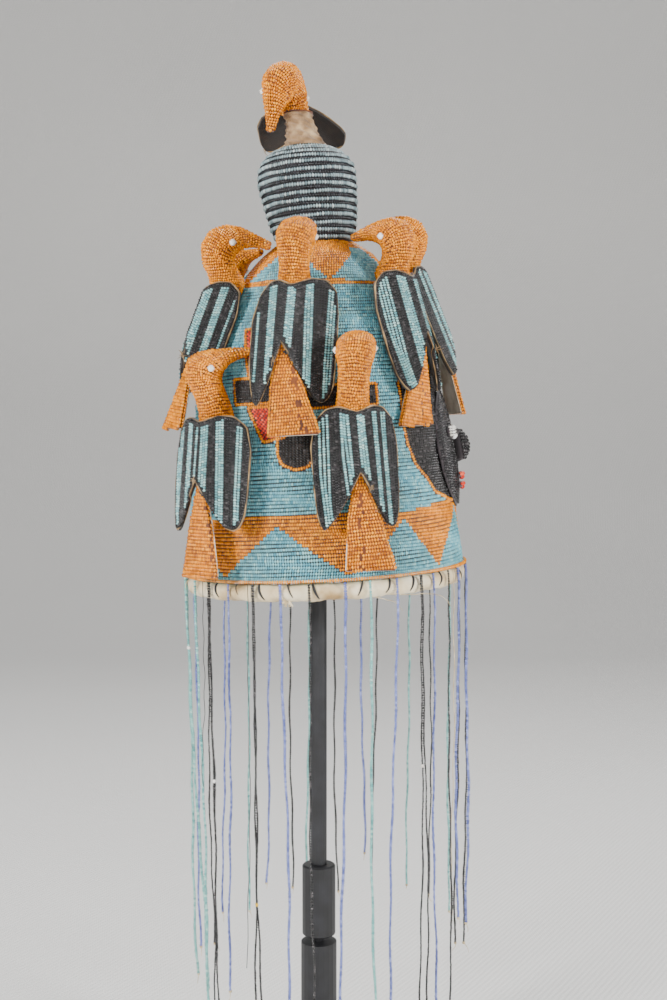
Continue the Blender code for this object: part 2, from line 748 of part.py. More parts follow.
def head_rings(bird):
    """Rows of the neck, the head and the beak, from the neck's foot to the tip."""
    neck_top = HEAD_ROWS[NECK_TOP_ROW].nape_up * HEAD_RISE
    neck = bird.neck * HEAD_RISE
    nod = math.radians(bird.nod)
    foot = WING_THICKNESS + GAP - HEAD_ROWS[0].nape_in * HEAD_REACH
    hinge = Vector((HINGE_IN * HEAD_REACH, HINGE_UP * HEAD_RISE))
    rings = []
    for index, row in enumerate(HEAD_ROWS):
        nape = Vector((row.nape_in * HEAD_REACH, row.nape_up * HEAD_RISE))
        throat = Vector((row.throat_in * HEAD_REACH, row.throat_up * HEAD_RISE))
        bend = (index - NECK_TOP_ROW) / (BEAK_ROOT_ROW - NECK_TOP_ROW)
        bend = min(max(bend, 0), 1) * nod
        if bend:
            swing = Matrix.Rotation(-bend, 2)
            nape = hinge + swing @ (nape - hinge)
            throat = hinge + swing @ (throat - hinge)
        turn = math.radians(bird.head_turn) * min(index / (NECK_TOP_ROW + 1), 1)
        inward = Vector((-math.sin(turn), math.cos(turn), 0))
        side = Vector((math.cos(turn), math.sin(turn), 0))
        ends = []
        for spot in (nape, throat):
            if index <= NECK_TOP_ROW:
                up = spot.y * neck / neck_top
            else:
                up = spot.y - neck_top + neck
            forward = spot.x + bird.forward * HEAD_REACH * up / HEAD_RISE
            drift = bird.drift * HEAD_REACH * index / (len(HEAD_ROWS) - 1)
            point = inward * forward + side * drift
            point += Vector((0, foot, up))
            ends.append(point)
        centre = (ends[0] + ends[1]) / 2
        half_axis = (ends[0] - ends[1]) / 2
        rings.append(row_points(centre, half_axis, row.half_width * HEAD_WIDTH, side))
    return rings


def top_rings(bird):
    """Rows of the top bird, sunk below the wings' top edge, with a row on them."""
    drop = Vector((0, 0, -TOP_WING_RISE))
    rings = [[point + drop for point in ring] for ring in head_rings(bird)]
    above = NECK_TOP_ROW + 1
    seat = [
        neck.lerp(head, TOP_SEAT_ROW)
        for neck, head in zip(rings[NECK_TOP_ROW], rings[above])
    ]
    rings.insert(above, seat)
    return rings


def build_body(bird, place):
    on_top = bird.name == TOP_BIRD
    if on_top:
        rings = top_rings(bird)
    else:
        rings = breast_rings(bird, place) + head_rings(bird)
    tail_top = -tail_start(bird) * math.cos(math.radians(bird.wing_lean))
    tail_inside = tail_depth(bird, tail_top) + TAIL_THICKNESS + GAP
    seated = []
    for index, ring in enumerate(rings):
        points = []
        pressed_out = on_top and index <= NECK_TOP_ROW + 1
        for k, point in enumerate(ring):
            depth = point.y
            at_nape = min(k, BIRD_SIDES - k) < BIRD_SIDES / 4
            if pressed_out and at_nape and abs(point.x) < TAIL_CLEARING:
                depth = under_wings(bird, point.x, min(point.z, 0))
            elif on_top and point.z < TOP_NAPE_CLEARING:
                depth = max(depth, under_wings(bird, point.x, 0))
            elif not on_top and point.z < GAP:
                depth = max(depth, under_wings(bird, point.x, point.z))
            if point.z < tail_top + TAIL_HEADROOM and abs(point.x) < TAIL_CLEARING:
                depth = max(depth, tail_inside)
            spot = place @ Vector((point.x, depth, point.z))
            points.append(clear_of_crown(spot, PRESS_GAP))
        seated.append(points)
    return piece(
        bird.name + "_body", lofted(bird.name + "_body", seated), ORANGE_BEADS, crown_seat
    )


for bird in BIRDS:
    place = bird_place(bird)
    build_body(bird, place)
    build_wings(bird, place)
    build_tail(bird, place)


# The bare cloth-wrapped stalk under the top bird.
stalk_foot = FINIAL_TOP + GAP
bm = bmesh.new()
bmesh.ops.create_cone(
    bm,
    cap_ends=True,
    segments=STALK_SIDES,
    radius1=TOP_STALK_FOOT_RADIUS,
    radius2=TOP_STALK_TIP_RADIUS,
    depth=TOP_STALK_HEIGHT,
)
bmesh.ops.translate(bm, verts=bm.verts, vec=(0, 0, stalk_foot + TOP_STALK_HEIGHT / 2))
for vertex in bm.verts:
    vertex.co.x += TOP_STALK_SWAY * (vertex.co.z - stalk_foot) / TOP_STALK_HEIGHT
stalk = bpy.data.meshes.new("bird_top_stalk")
bm.to_mesh(stalk)
bm.free()
stalk.shade_smooth()
piece("bird_top_stalk", stalk, BROWN_CLOTH, crown_seat)


# The face: a low padded oval on the wall, and its features on the pad.
def relief(name, across, up, half_width, half_height, depth, seat, finish, sides, rows):
    """Dome with a flat oval foot, laid on the curved wall at a face position."""
    bm = bmesh.new()
    bmesh.ops.create_uvsphere(bm, u_segments=sides, v_segments=rows, radius=1.0)
    centre_height = BODY_FOOT + FACE_RISE * BODY_HEIGHT
    for vertex in bm.verts:
        east = across + vertex.co.x * half_width
        north = up + vertex.co.y * half_height
        height = centre_height + north
        radius = crown_at(height)[0]
        out = seat(east, north) + max(vertex.co.z, 0.0) * depth
        vertex.co = on_wall(FACE_ROUND + math.degrees(east / radius), height, out)
    mesh = bpy.data.meshes.new(name)
    bm.to_mesh(mesh)
    bm.free()
    mesh.shade_smooth()
    return piece(name, mesh, finish, crown_seat)


def on_bell(east, north):
    return PRESS_GAP


def on_pad(east, north):
    """Height of the pad's outer face above the wall, with the play above it."""
    spread = (east / FACE_HALF_WIDTH) ** 2 + (north / FACE_HALF_HEIGHT) ** 2
    return PRESS_GAP + FACE_DEPTH * math.sqrt(max(1 - spread, 0)) + PRESS_GAP


relief(
    "face_pad",
    0,
    0,
    FACE_HALF_WIDTH,
    FACE_HALF_HEIGHT,
    FACE_DEPTH,
    on_bell,
    BLACK_BEADS,
    PAD_SIDES,
    PAD_ROWS,
)
FEATURE_FINISH = {"eye": WHITE_BEADS, "lip": RED_BEADS, "nose": BLACK_BEADS}
for feature in FEATURES:
    relief(
        feature.name,
        feature.across * FACE_HALF_WIDTH,
        feature.up * FACE_HALF_HEIGHT,
        feature.half_width * FACE_HALF_WIDTH,
        feature.half_height * FACE_HALF_HEIGHT,
        feature.depth,
        on_pad,
        FEATURE_FINISH[feature.name.split("_")[1]],
        FEATURE_SIDES,
        FEATURE_ROWS,
    )


# The veil: a bead edging round the seam, and strings that hang from it, over the
# outside of the rim roll and then straight down.
edging_radius = BODY_RADIUS + PRESS_GAP + EDGING / 2
edging_height = BODY_FOOT + EDGING / 2 - GAP
over_roll = RIM_ROLL_RADIUS + RIM_ROLL / 2 + STRING_RADIUS + PRESS_GAP
bpy.ops.mesh.primitive_torus_add(
    major_radius=edging_radius,
    minor_radius=EDGING / 2,
    major_segments=ROUND_SIDES,
    minor_segments=EDGING_SIDES,
    location=(0, 0, 0),
)
ring = bpy.context.active_object
ring.data.transform(Matrix.Translation((0, 0, edging_height)))
edging = piece("fringe", mesh_of(ring, "fringe"), VEIL_BEADS, crown_seat)

veil = bpy.data.curves.new("veil_strings", "CURVE")
veil.dimensions = "3D"
veil.bevel_depth = STRING_RADIUS
veil.bevel_resolution = 2
veil.use_fill_caps = True
to_crown = crown_seat.matrix_world.inverted()
for string in STRINGS:
    turn = math.radians(string.round)
    outward = Vector((math.sin(turn), -math.cos(turn), 0))
    start = outward * edging_radius + Vector((0, 0, edging_height))
    over = outward * over_roll + Vector((0, 0, RIM_ROLL * ROLL_SIDE))
    below = outward * over_roll + Vector((0, 0, RIM_ROLL * ROLL_FOOT))
    hang = crown_seat.matrix_world @ below
    drop = string.length * VEIL_LENGTH
    route = [start, over, below]
    for share in (0.5, 1.0):
        swung = hang + Vector((string.sway * VEIL_LENGTH * share, 0, -drop * share))
        route.append(to_crown @ swung)
    spline = veil.splines.new("POLY")
    spline.points.add(len(route) - 1)
    for point, spot in zip(spline.points, route):
        point.co = (*spot, 1)
strings_curve = bpy.data.objects.new("veil_strings", veil)
crown_parts.objects.link(strings_curve)
bpy.context.view_layer.update()
strings_mesh = mesh_of(strings_curve, "veil_strings")
bm = bmesh.new()
bm.from_mesh(strings_mesh)
bmesh.ops.remove_doubles(bm, verts=bm.verts, dist=SEAM_MERGE)
bm.to_mesh(strings_mesh)
bm.free()
strings = bpy.data.objects.new("veil_strings", strings_mesh)
strings.parent = crown_seat
strings.hide_render = True
strings.display_type = "WIRE"
cutters.objects.link(strings)
joined = edging.modifiers.new("strings", "BOOLEAN")
joined.operation = "UNION"
joined.object = strings
joined.solver = "EXACT"
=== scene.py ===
import math
from collections import defaultdict, namedtuple

import bmesh
import bpy
import numpy as np
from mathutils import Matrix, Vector


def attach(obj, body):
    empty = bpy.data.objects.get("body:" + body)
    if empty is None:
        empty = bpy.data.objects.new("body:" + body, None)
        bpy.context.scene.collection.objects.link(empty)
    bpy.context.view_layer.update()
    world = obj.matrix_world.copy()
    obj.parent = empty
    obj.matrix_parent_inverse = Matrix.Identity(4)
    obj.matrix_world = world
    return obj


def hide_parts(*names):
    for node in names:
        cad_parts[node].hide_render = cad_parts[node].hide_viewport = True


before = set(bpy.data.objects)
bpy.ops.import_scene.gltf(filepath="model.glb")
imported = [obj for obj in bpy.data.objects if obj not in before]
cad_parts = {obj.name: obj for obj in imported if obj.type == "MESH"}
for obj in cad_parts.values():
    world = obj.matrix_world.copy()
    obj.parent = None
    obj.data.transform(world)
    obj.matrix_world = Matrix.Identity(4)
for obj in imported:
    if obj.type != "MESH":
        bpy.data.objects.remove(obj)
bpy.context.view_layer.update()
MM = 0.001


# The stand: steel tube, rod and disc on a round plate, all sprayed matt black.
# The solids of the frame are the real shapes, so they only get the paint.
def linear(colour):
    """Linear light values of an sRGB hex colour."""
    parts = [int(colour[k : k + 2], 16) / 255 for k in (1, 3, 5)]
    steps = [p / 12.92 if p <= 0.04045 else ((p + 0.055) / 1.055) ** 2.4 for p in parts]
    return (*steps, 1.0)


def add(finish, kind, inputs=None, stops=None, **settings):
    """A shader node with its settings, its ramp stops, and its inputs set or linked."""
    node = finish.node_tree.nodes.new("ShaderNode" + kind)
    for name, value in settings.items():
        setattr(node, name, value)
    for name, value in (inputs or {}).items():
        if isinstance(value, bpy.types.NodeSocket):
            finish.node_tree.links.new(value, node.inputs[name])
        else:
            node.inputs[name].default_value = value
    if stops:
        ramp = node.color_ramp
        while len(ramp.elements) < len(stops):
            ramp.elements.new(0.5)
        for element, (place, colour) in zip(ramp.elements, stops):
            element.position = place
            element.color = linear(colour)
    return node


def new_finish(name):
    """An empty material, and its Principled shader joined to the output."""
    finish = bpy.data.materials.new(name)
    finish.use_nodes = True
    finish.node_tree.nodes.clear()
    shader = add(finish, "BsdfPrincipled")
    add(finish, "OutputMaterial", {"Surface": shader.outputs["BSDF"]})
    return finish, shader


def wire(finish, shader, **sockets):
    """Sets or links sockets of the shader, by their names with underscores."""
    for name, value in sockets.items():
        socket = shader.inputs[name.replace("_", " ")]
        if isinstance(value, bpy.types.NodeSocket):
            finish.node_tree.links.new(value, socket)
        else:
            socket.default_value = value


def matt_black_paint():
    """Sprayed matt acrylic over steel: a fine orange peel, dusty in patches."""
    finish, shader = new_finish("matt_black_spray_paint")
    place = add(finish, "TexCoord").outputs["Object"]
    peel = add(finish, "TexNoise", {"Vector": place, "Scale": 1 / (0.9 * MM), "Detail": 2.0})
    dust = add(finish, "TexNoise", {"Vector": place, "Scale": 1 / (14 * MM), "Detail": 5.0})
    shade = add(
        finish,
        "ValToRGB",
        {"Fac": dust.outputs["Fac"]},
        stops=[(0.35, "#141415"), (0.75, "#26262A")],
    )
    gloss = add(
        finish,
        "MapRange",
        {"Value": dust.outputs["Fac"], "To Min": 0.36, "To Max": 0.6},
    )
    bump = add(
        finish,
        "Bump",
        {"Height": peel.outputs["Fac"], "Strength": 0.12, "Distance": 0.05 * MM},
    )
    wire(
        finish,
        shader,
        Base_Color=shade.outputs["Color"],
        Roughness=gloss.outputs["Result"],
        Normal=bump.outputs["Normal"],
        IOR=1.5,
    )
    return finish


BLACK_PAINT = matt_black_paint()
STAND_NODES = ("base", "tube", "pin", "collar", "rod", "head")
for part in STAND_NODES:
    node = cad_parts["stand_" + part]
    node.data.materials.clear()
    node.data.materials.append(BLACK_PAINT)


# The bell's cloth: stiff cotton over a cane form, turned to the shape of the
# frame's wall. It shows as the lining; its outer face under the beads is dark brown, painted shade in the gaps between
# the rows of beads.
def points_of(node):
    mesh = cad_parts[node].data
    points = np.empty(len(mesh.vertices) * 3)
    mesh.vertices.foreach_get("co", points)
    return points.reshape(-1, 3)


def crown_axes(rim):
    """Matrix from the crown's own axes to the room: the rim lies level in them."""
    middle = (rim.max(0) + rim.min(0)) / 2
    up = np.linalg.svd(rim - rim.mean(0), full_matrices=False)[2][2]
    up = up if up[2] > 0 else -up
    foot = middle + up * ((rim - middle) @ up).min()
    right = np.array([1.0, 0.0, 0.0]) - up * up[0]
    right /= np.linalg.norm(right)
    return np.column_stack([right, np.cross(up, right), up]), foot


CROWN_TURN, CROWN_FOOT = crown_axes(points_of("rim_roll"))


def to_crown(points):
    return (points - CROWN_FOOT) @ CROWN_TURN


def to_room(points):
    return points @ CROWN_TURN.T + CROWN_FOOT


class Outline:
    """The side of a turned node, smoothed, as radius and sideways lean by height."""

    def __init__(self, node, rounding):
        local = to_crown(points_of(node))
        levels = np.round(local[:, 2], 5)
        rows = []
        for level in np.unique(levels):
            row = local[levels == level]
            middle = (row[:, 0].max() + row[:, 0].min()) / 2
            rows.append((level, np.hypot(row[:, 0] - middle, row[:, 1]).max(), middle))
        side = []
        for row in rows:
            while len(side) > 1 and self.inside(side[-2], side[-1], row):
                side.pop()
            side.append(row)
        side = np.array([row for row in side if row[1] > 1 * MM])
        self.low, self.high = side[0, 0], side[-1, 0]
        steps = np.concatenate([[0], np.cumsum(np.hypot(*np.diff(side[:, :2], axis=0).T))])
        self.along = np.linspace(0, steps[-1], 240)
        reach = max(int(rounding / (self.along[1] - self.along[0])), 1)
        kernel = np.hanning(2 * reach + 3)[1:-1]
        self.height, self.radius, self.shift = (
            self.smoothed(np.interp(self.along, steps, side[:, k]), reach, kernel)
            for k in range(3)
        )
        self.length = steps[-1]

    @staticmethod
    def inside(before, point, after):
        part = (point[0] - before[0]) / (after[0] - before[0])
        return point[1] <= before[1] + part * (after[1] - before[1])

    @staticmethod
    def smoothed(values, reach, kernel):
        before = 2 * values[0] - values[reach:0:-1]
        after = 2 * values[-1] - values[-2 : -reach - 2 : -1]
        return np.convolve(np.concatenate([before, values, after]), kernel / kernel.sum(), "valid")

    def at(self, along):
        """Height, radius and shift at a distance along the side from its foot."""
        return [np.interp(along, self.along, v) for v in (self.height, self.radius, self.shift)]

    def along_of(self, height):
        return np.interp(height, self.height, self.along)

    def place(self, turn, along, out=0.0):
        """Points and outward directions on the side, in the crown's axes."""
        height, radius, shift = self.at(along)
        ahead, behind = self.at(along + 1 * MM), self.at(along - 1 * MM)
        rise, run = ahead[0] - behind[0], ahead[1] - behind[1]
        length = np.hypot(rise, run) + 1e-9
        level, lift = rise / length, -run / length
        across, depth = np.sin(turn), -np.cos(turn)
        outward = np.stack([across * level, depth * level, lift], -1)
        spot = np.stack([shift + radius * across, radius * depth, height], -1)
        return spot + outward * np.expand_dims(out, -1), outward


def cotton(name, colours, thread, dirt, roughness=0.85):
    """Plain-woven cotton: crossed threads in relief, faded and soiled in patches."""
    finish, shader = new_finish(name)
    place = add(finish, "TexCoord").outputs["Object"]
    turned = add(finish, "Mapping", {"Vector": place, "Rotation": (0.3, 0.5, 0.8)})
    weave = []
    for direction in ("X", "Y", "Z"):
        weave.append(
            add(
                finish,
                "TexWave",
                {"Vector": turned.outputs["Vector"], "Scale": 0.314 / thread, "Distortion": 1.2},
                bands_direction=direction,
            ).outputs["Fac"]
        )
    crossed = add(finish, "Math", {0: weave[0], 1: weave[1]}, operation="MAXIMUM")
    woven = add(finish, "Math", {0: crossed.outputs["Value"], 1: weave[2]}, operation="ADD")
    patches = add(finish, "TexNoise", {"Vector": place, "Scale": 1 / dirt, "Detail": 6.0})
    shade = add(
        finish,
        "ValToRGB",
        {"Fac": patches.outputs["Fac"]},
        stops=[(0.32, colours[0]), (0.52, colours[1]), (0.7, colours[2])],
    )
    bump = add(
        finish,
        "Bump",
        {"Height": woven.outputs["Value"], "Strength": 0.45, "Distance": 0.35 * thread},
    )
    wire(
        finish,
        shader,
        Base_Color=shade.outputs["Color"],
        Normal=bump.outputs["Normal"],
        Roughness=roughness,
        Sheen_Weight=0.25,
        Sheen_Roughness=0.5,
    )
    return finish


# Threads of 0.5 mm would not show, so the weave is drawn a little coarser.
LINING_COTTON = cotton("undyed_plain_cotton", ("#8E7A5C", "#C0AD8A", "#D8C9A8"), 0.9 * MM, 30 * MM)
# Dark brown outer face under the beads: painted shade in the gaps between the beads, not the cloth's own colour.
SHADED_COTTON = cotton("painted_shade_brown_cotton", ("#1A1512", "#2A221C", "#3A3028"), 0.9 * MM, 30 * MM)


class Piece:
    """Faces gathered under one name until they become one object."""

    def __init__(self):
        self.points, self.faces, self.finishes, self.count = [], [], [], 0
        self.materials = []

    def add(self, points, faces, finish):
        if finish not in self.materials:
            self.materials.append(finish)
        self.points.append(np.asarray(points, float).reshape(-1, 3))
        self.faces.append(np.asarray(faces, int) + self.count)
        self.finishes.append(self.materials.index(finish))
        self.count += len(self.points[-1])

    def area(self):
        """Area of all the faces."""
        total = 0.0
        points = np.concatenate(self.points)
        for faces in self.faces:
            for k in range(2, faces.shape[1]):
                a, b, c = (points[faces[:, j]] for j in (0, k - 1, k))
                total += np.linalg.norm(np.cross(b - a, c - a), axis=1).sum() / 2
        return total

    def make(self, name, slot, *nodes, closed=False):
        """The object in the room, which rides on the crown and stands for the nodes."""
        mesh = bpy.data.meshes.new(name)
        points = np.concatenate(self.points)
        sizes = np.concatenate([np.full(len(f), f.shape[1]) for f in self.faces])
        marks = np.concatenate([np.full(len(f), k) for f, k in zip(self.faces, self.finishes)])
        corners = np.concatenate([f.ravel() for f in self.faces])
        mesh.vertices.add(len(points))
        mesh.vertices.foreach_set("co", points.ravel())
        mesh.loops.add(len(corners))
        mesh.loops.foreach_set("vertex_index", corners.astype(np.int32))
        mesh.polygons.add(len(sizes))
        starts = np.concatenate([[0], np.cumsum(sizes)[:-1]])
        mesh.polygons.foreach_set("loop_start", starts.astype(np.int32))
        mesh.polygons.foreach_set("material_index", marks.astype(np.int32))
        mesh.update(calc_edges=True)
        mesh.validate()
        if closed:
            bm = bmesh.new()
            bm.from_mesh(mesh)
            bmesh.ops.remove_doubles(bm, verts=bm.verts, dist=0.004 * MM)
            bm.to_mesh(mesh)
            bm.free()
        mesh.shade_smooth()
        if closed:
            mesh.set_sharp_from_angle(angle=math.radians(50))
        for finish in self.materials:
            mesh.materials.append(finish)
        made = bpy.data.objects.new(name, mesh)
        bpy.context.scene.collection.objects.link(made)
        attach(made, "root")
        if nodes:
            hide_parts(*nodes)
        return made


def grid_faces(rows, columns, wrap_rows=False, wrap_columns=True):
    """Four-cornered faces between the points of a grid laid out row by row."""
    row = np.arange(rows if wrap_rows else rows - 1)
    column = np.arange(columns if wrap_columns else columns - 1)
    r, c = (part.ravel() for part in np.meshgrid(row, column, indexing="ij"))
    r2, c2 = (r + 1) % rows, (c + 1) % columns
    return np.stack([r * columns + c, r * columns + c2, r2 * columns + c2, r2 * columns + c], 1)


def unevenness(turn, along):
    """Shallow dents of a hand-stretched cloth, up to about a millimetre."""
    dents = np.sin(3 * turn + 41 * along) * np.sin(2 * turn - 63 * along + 1.0)
    return 0.7 * MM * dents + 0.4 * MM * np.sin(7 * turn + 90 * along + 2.0)


BELL = Outline("crown_shell", 5 * MM)
CLOTH_THICKNESS = 2.6 * MM
BEAD_SEAT = 0.9 * MM
CLOTH_ROUND, CLOTH_UP = 72, 44
turns = np.linspace(-math.pi, math.pi, CLOTH_ROUND + 1)[:-1]
levels = np.linspace(0, BELL.length, CLOTH_UP)
turn_grid, level_grid = np.meshgrid(turns, levels)
skins = []
for depth in (BEAD_SEAT, BEAD_SEAT + CLOTH_THICKNESS):
    sag = unevenness(turn_grid, level_grid) - depth
    skins.append(to_room(BELL.place(turn_grid, level_grid, sag)[0].reshape(-1, 3)))
outer, inner = skins
lid = to_room(np.array([[BELL.shift[-1], 0, BELL.high - d] for d in (0.5 * MM, 3 * MM)]))
shell = Piece()
# Outer skin in the dark brown of painted shade, seen only between the beads.
shell.add(outer, grid_faces(CLOTH_UP, CLOTH_ROUND), SHADED_COTTON)
shell.add(inner, grid_faces(CLOTH_UP, CLOTH_ROUND)[:, ::-1], LINING_COTTON)
hem = np.concatenate([outer[:CLOTH_ROUND], inner[:CLOTH_ROUND]])
shell.add(hem, grid_faces(2, CLOTH_ROUND)[:, ::-1], LINING_COTTON)
ring = np.arange(CLOTH_ROUND)
for skin, middle, flip in ((outer, lid[:1], 1), (inner, lid[1:], -1)):
    fan = np.stack([ring, (ring + 1) % CLOTH_ROUND, np.full(CLOTH_ROUND, CLOTH_ROUND)], 1)[:, ::flip]
    shell.add(np.concatenate([skin[-CLOTH_ROUND:], middle]), fan, LINING_COTTON)
bell_cloth = shell.make("bell_cloth", "cream_cotton", "crown_shell", closed=True)


# Seed beads: opaque drawn glass, 2.6 mm thick and 1.8 mm long, threaded in rows that
# are sewn down side by side. Only the outer half of a sewn bead is modelled.
chance = np.random.default_rng(20)
BEAD_WIDTH = 2.65 * MM
BEAD_LENGTH = 1.95 * MM


def barrel(sides, whole, neck=0.4):
    """Corners and faces of one bead, a barrel of unit size along its thread."""
    sweep = 2 * math.pi if whole else math.pi
    steps = sides if whole else sides + 1
    angles = sweep * np.arange(steps) / sides
    corners = []
    sunk = 0.0 if whole else 0.06
    for along, girth in ((-0.44, neck), (0.0, 1.0 + 2 * sunk), (0.44, neck)):
        for angle in angles:
            corners.append((along, math.cos(angle) * girth / 2, math.sin(angle) * girth / 2 - sunk))
    return np.array(corners), grid_faces(3, steps, wrap_columns=whole)


SEWN_BEAD = barrel(4, whole=False)
FLAT_BEAD = barrel(3, whole=False)
HUNG_BEAD = barrel(4, whole=True, neck=0.6)


def unit(vectors):
    return vectors / np.maximum(np.linalg.norm(vectors, axis=-1, keepdims=True), 1e-12)


def lay_beads(piece, spots, along, out, finish, width=BEAD_WIDTH, length=BEAD_LENGTH, form=SEWN_BEAD):
    """Adds a bead at each spot, its thread along one way and its top the other."""
    if not len(spots):
        return
    count = len(spots)
    along = unit(along + chance.normal(0, 0.08, (count, 3)))
    out = unit(out - along * (out * along).sum(1, keepdims=True))
    across = np.cross(out, along)
    swell = chance.normal(1.0, 0.06, (count, 1))
    lift = chance.normal(0, 0.09 * MM, (count, 1))
    corners, faces = form
    size = np.broadcast_to(np.asarray(width, float).reshape(-1, 1), (count, 1)) * swell
    reach = np.broadcast_to(np.asarray(length, float).reshape(-1, 1), (count, 1))
    base = (spots + out * lift)[:, None, :]
    points = (
        base
        + corners[None, :, :1] * (along * reach)[:, None, :]
        + corners[None, :, 1:2] * (across * size)[:, None, :]
        + corners[None, :, 2:] * (out * size)[:, None, :]
    )
    starts = np.arange(count)[:, None, None] * len(corners)
    piece.add(points.reshape(-1, 3), (faces[None] + starts).reshape(-1, 4), finish)


def seed_beads(name, tones, roughness=0.3, grime=0.5):
    """Opaque glass beads: glossy, no two the same shade, dull where dirt has settled."""
    finish, shader = new_finish(name)
    which = add(finish, "NewGeometry").outputs["Random Per Island"]
    tone = add(finish, "ValToRGB", {"Fac": which}, stops=list(zip((0.0, 0.3, 0.75, 1.0), tones)))
    place = add(finish, "TexCoord").outputs["Object"]
    soil = add(finish, "TexNoise", {"Vector": place, "Scale": 1 / (22 * MM), "Detail": 6.0})
    amount = add(
        finish,
        "MapRange",
        {"Value": soil.outputs["Fac"], "From Min": 0.48, "From Max": 0.75, "To Max": grime},
    )
    dulled = add(
        finish,
        "Mix",
        {0: amount.outputs["Result"], 6: tone.outputs["Color"], 7: linear("#8C7256")},
        data_type="RGBA",
        blend_type="MULTIPLY",
    )
    gloss = add(
        finish,
        "MapRange",
        {"Value": soil.outputs["Fac"], "To Min": roughness - 0.08, "To Max": roughness + 0.12},
    )
    wire(
        finish,
        shader,
        Base_Color=dulled.outputs[2],
        Roughness=gloss.outputs["Result"],
        IOR=1.52,
    )
    return finish


SKY_BEADS = seed_beads("sky_blue_glass_beads", ("#4E93A4", "#6CAFBC", "#7ABBC4", "#9CD0CF"), 0.24)
ORANGE_BEADS = seed_beads("orange_glass_beads", ("#B46200", "#DE8200", "#F09200", "#FFA81A"), 0.16, 0.35)
BLACK_BEADS = seed_beads("black_glass_beads", ("#050505", "#100F0F", "#1E1B1C", "#4A4646"), 0.16, 0.0)
RED_BEADS = seed_beads("coral_red_glass_beads", ("#AA1C0C", "#D8341C", "#E8462C", "#F4704E"), 0.2)
WHITE_BEADS = seed_beads("white_glass_beads", ("#D8D2C6", "#ECE8E0", "#F4F1EA", "#FFFFFF"), 0.22)


# The pattern on the bell. Blue rows run level all round; an orange zigzag stands on
# the rim, another hangs under the knob, and motifs are sewn in between. Places are
# (degrees round from the front, millimetres above the rim's foot).
Motif = namedtuple("Motif", "finish row_turn corners outlined")
ZIGZAG_TIPS = (-178, -133, -88, -43.4, 9.5, 52.3, 95, 138)
ZIGZAG_PEAKS = ((-156, 56), (-111, 57), (-66, 55), (-18.6, 56), (35.4, 56), (76.1, 62), (117, 58), (160, 57))
ZIGZAG_FOOT = 18.0
BAND_TOP = ((-180, 63), (-111, 64), (-67, 60), (-28, 63), (-6, 65), (34, 61), (63, 67), (76, 68), (120, 64), (180, 63))
COLLAR_POINTS = (-133, -61, 11.2, 83, 155)
COLLAR_HALF_WIDTH = 29.0
COLLAR_FOOT, COLLAR_HEM = 238.0, 265.0
RING_LINE = ((-180, 238), (-64, 240), (44, 235), (180, 238))
LEVEL, UPRIGHT, SLANTED = 0.0, 90.0, 52.0
MOTIFS = [
    Motif(RED_BEADS, SLANTED, ((-39, 203), (-20, 203), (-20, 168), (-33, 168)), True),
    Motif(BLACK_BEADS, LEVEL, ((-42, 166), (-14, 166), (-14, 146.5), (-39, 146.5)), True),
    Motif(RED_BEADS, SLANTED, ((-32, 144), (-12, 144), (-14, 121), (-24, 118)), True),
    Motif(
        BLACK_BEADS,
        UPRIGHT,
        ((-17.6, 124), (-17.4, 108), (-15.5, 101), (-10, 96.8), (-4.5, 98.5), (-1.5, 106), (-1.5, 124)),
        True,
    ),
    Motif(WHITE_BEADS, UPRIGHT, ((-8.6, 160), (-6.4, 160), (-6.4, 146), (-8.6, 146)), False),
    Motif(BLACK_BEADS, LEVEL, ((-4.8, 158), (28.6, 158), (28, 142), (-4.8, 141)), True),
    Motif(
        BLACK_BEADS,
        UPRIGHT,
        (
            (41, 158), (40.7, 122), (41.4, 112), (44.5, 95.3), (50, 86.2), (55.5, 74), (69.4, 66.5),
            (88, 64), (106, 67), (118, 76), (127, 90), (132, 110), (132, 158), (121, 170), (52, 170),
        ),
        True,
    ),
]


def by_turn(table, turn):
    """A value that changes round the crown, read from (degrees, value) points."""
    degrees, values = zip(*table)
    return np.interp(np.degrees(turn), degrees, values)


def inside(corners, turn, height):
    """Whether places lie inside a motif's corners."""
    x, y = np.degrees(turn), height / MM
    found = np.zeros(np.shape(x), bool)
    for (x1, y1), (x2, y2) in zip(corners, corners[1:] + corners[:1]):
        spans = (y1 > y) != (y2 > y)
        found ^= spans & (x < (x2 - x1) * (y - y1) / (y2 - y1 + 1e-9) + x1)
    return found


def zigzag_height(turn):
    """Height in millimetres where blue ends and the orange zigzag begins."""
    corners = [(tip, ZIGZAG_FOOT) for tip in ZIGZAG_TIPS] + list(ZIGZAG_PEAKS)
    corners = sorted(corners)
    first, last = corners[0], corners[-1]
    corners = [(last[0] - 360, last[1])] + corners + [(first[0] + 360, first[1])]
    return by_turn(corners, turn)


def ground_finish(turn, height):
    """Index of the finish of the level rows: 0 sky blue, 1 orange."""
    level = height / MM
    orange = (level < by_turn(BAND_TOP, turn)) & (level > zigzag_height(turn))
    orange |= np.abs(level - by_turn(RING_LINE, turn)) < 1.6
    orange |= level > COLLAR_HEM
    for point in COLLAR_POINTS:
        off = np.abs((np.degrees(turn) - point + 180) % 360 - 180)
        orange |= level > COLLAR_FOOT + (COLLAR_HEM - COLLAR_FOOT) * off / COLLAR_HALF_WIDTH
    return orange.astype(int)


def top_motif(turn, height):
    """Index of the motif that shows at each place, or -1."""
    found = np.full(np.shape(turn), -1)
    for index, motif in enumerate(MOTIFS):
        found[inside(motif.corners, turn, height)] = index
    return found


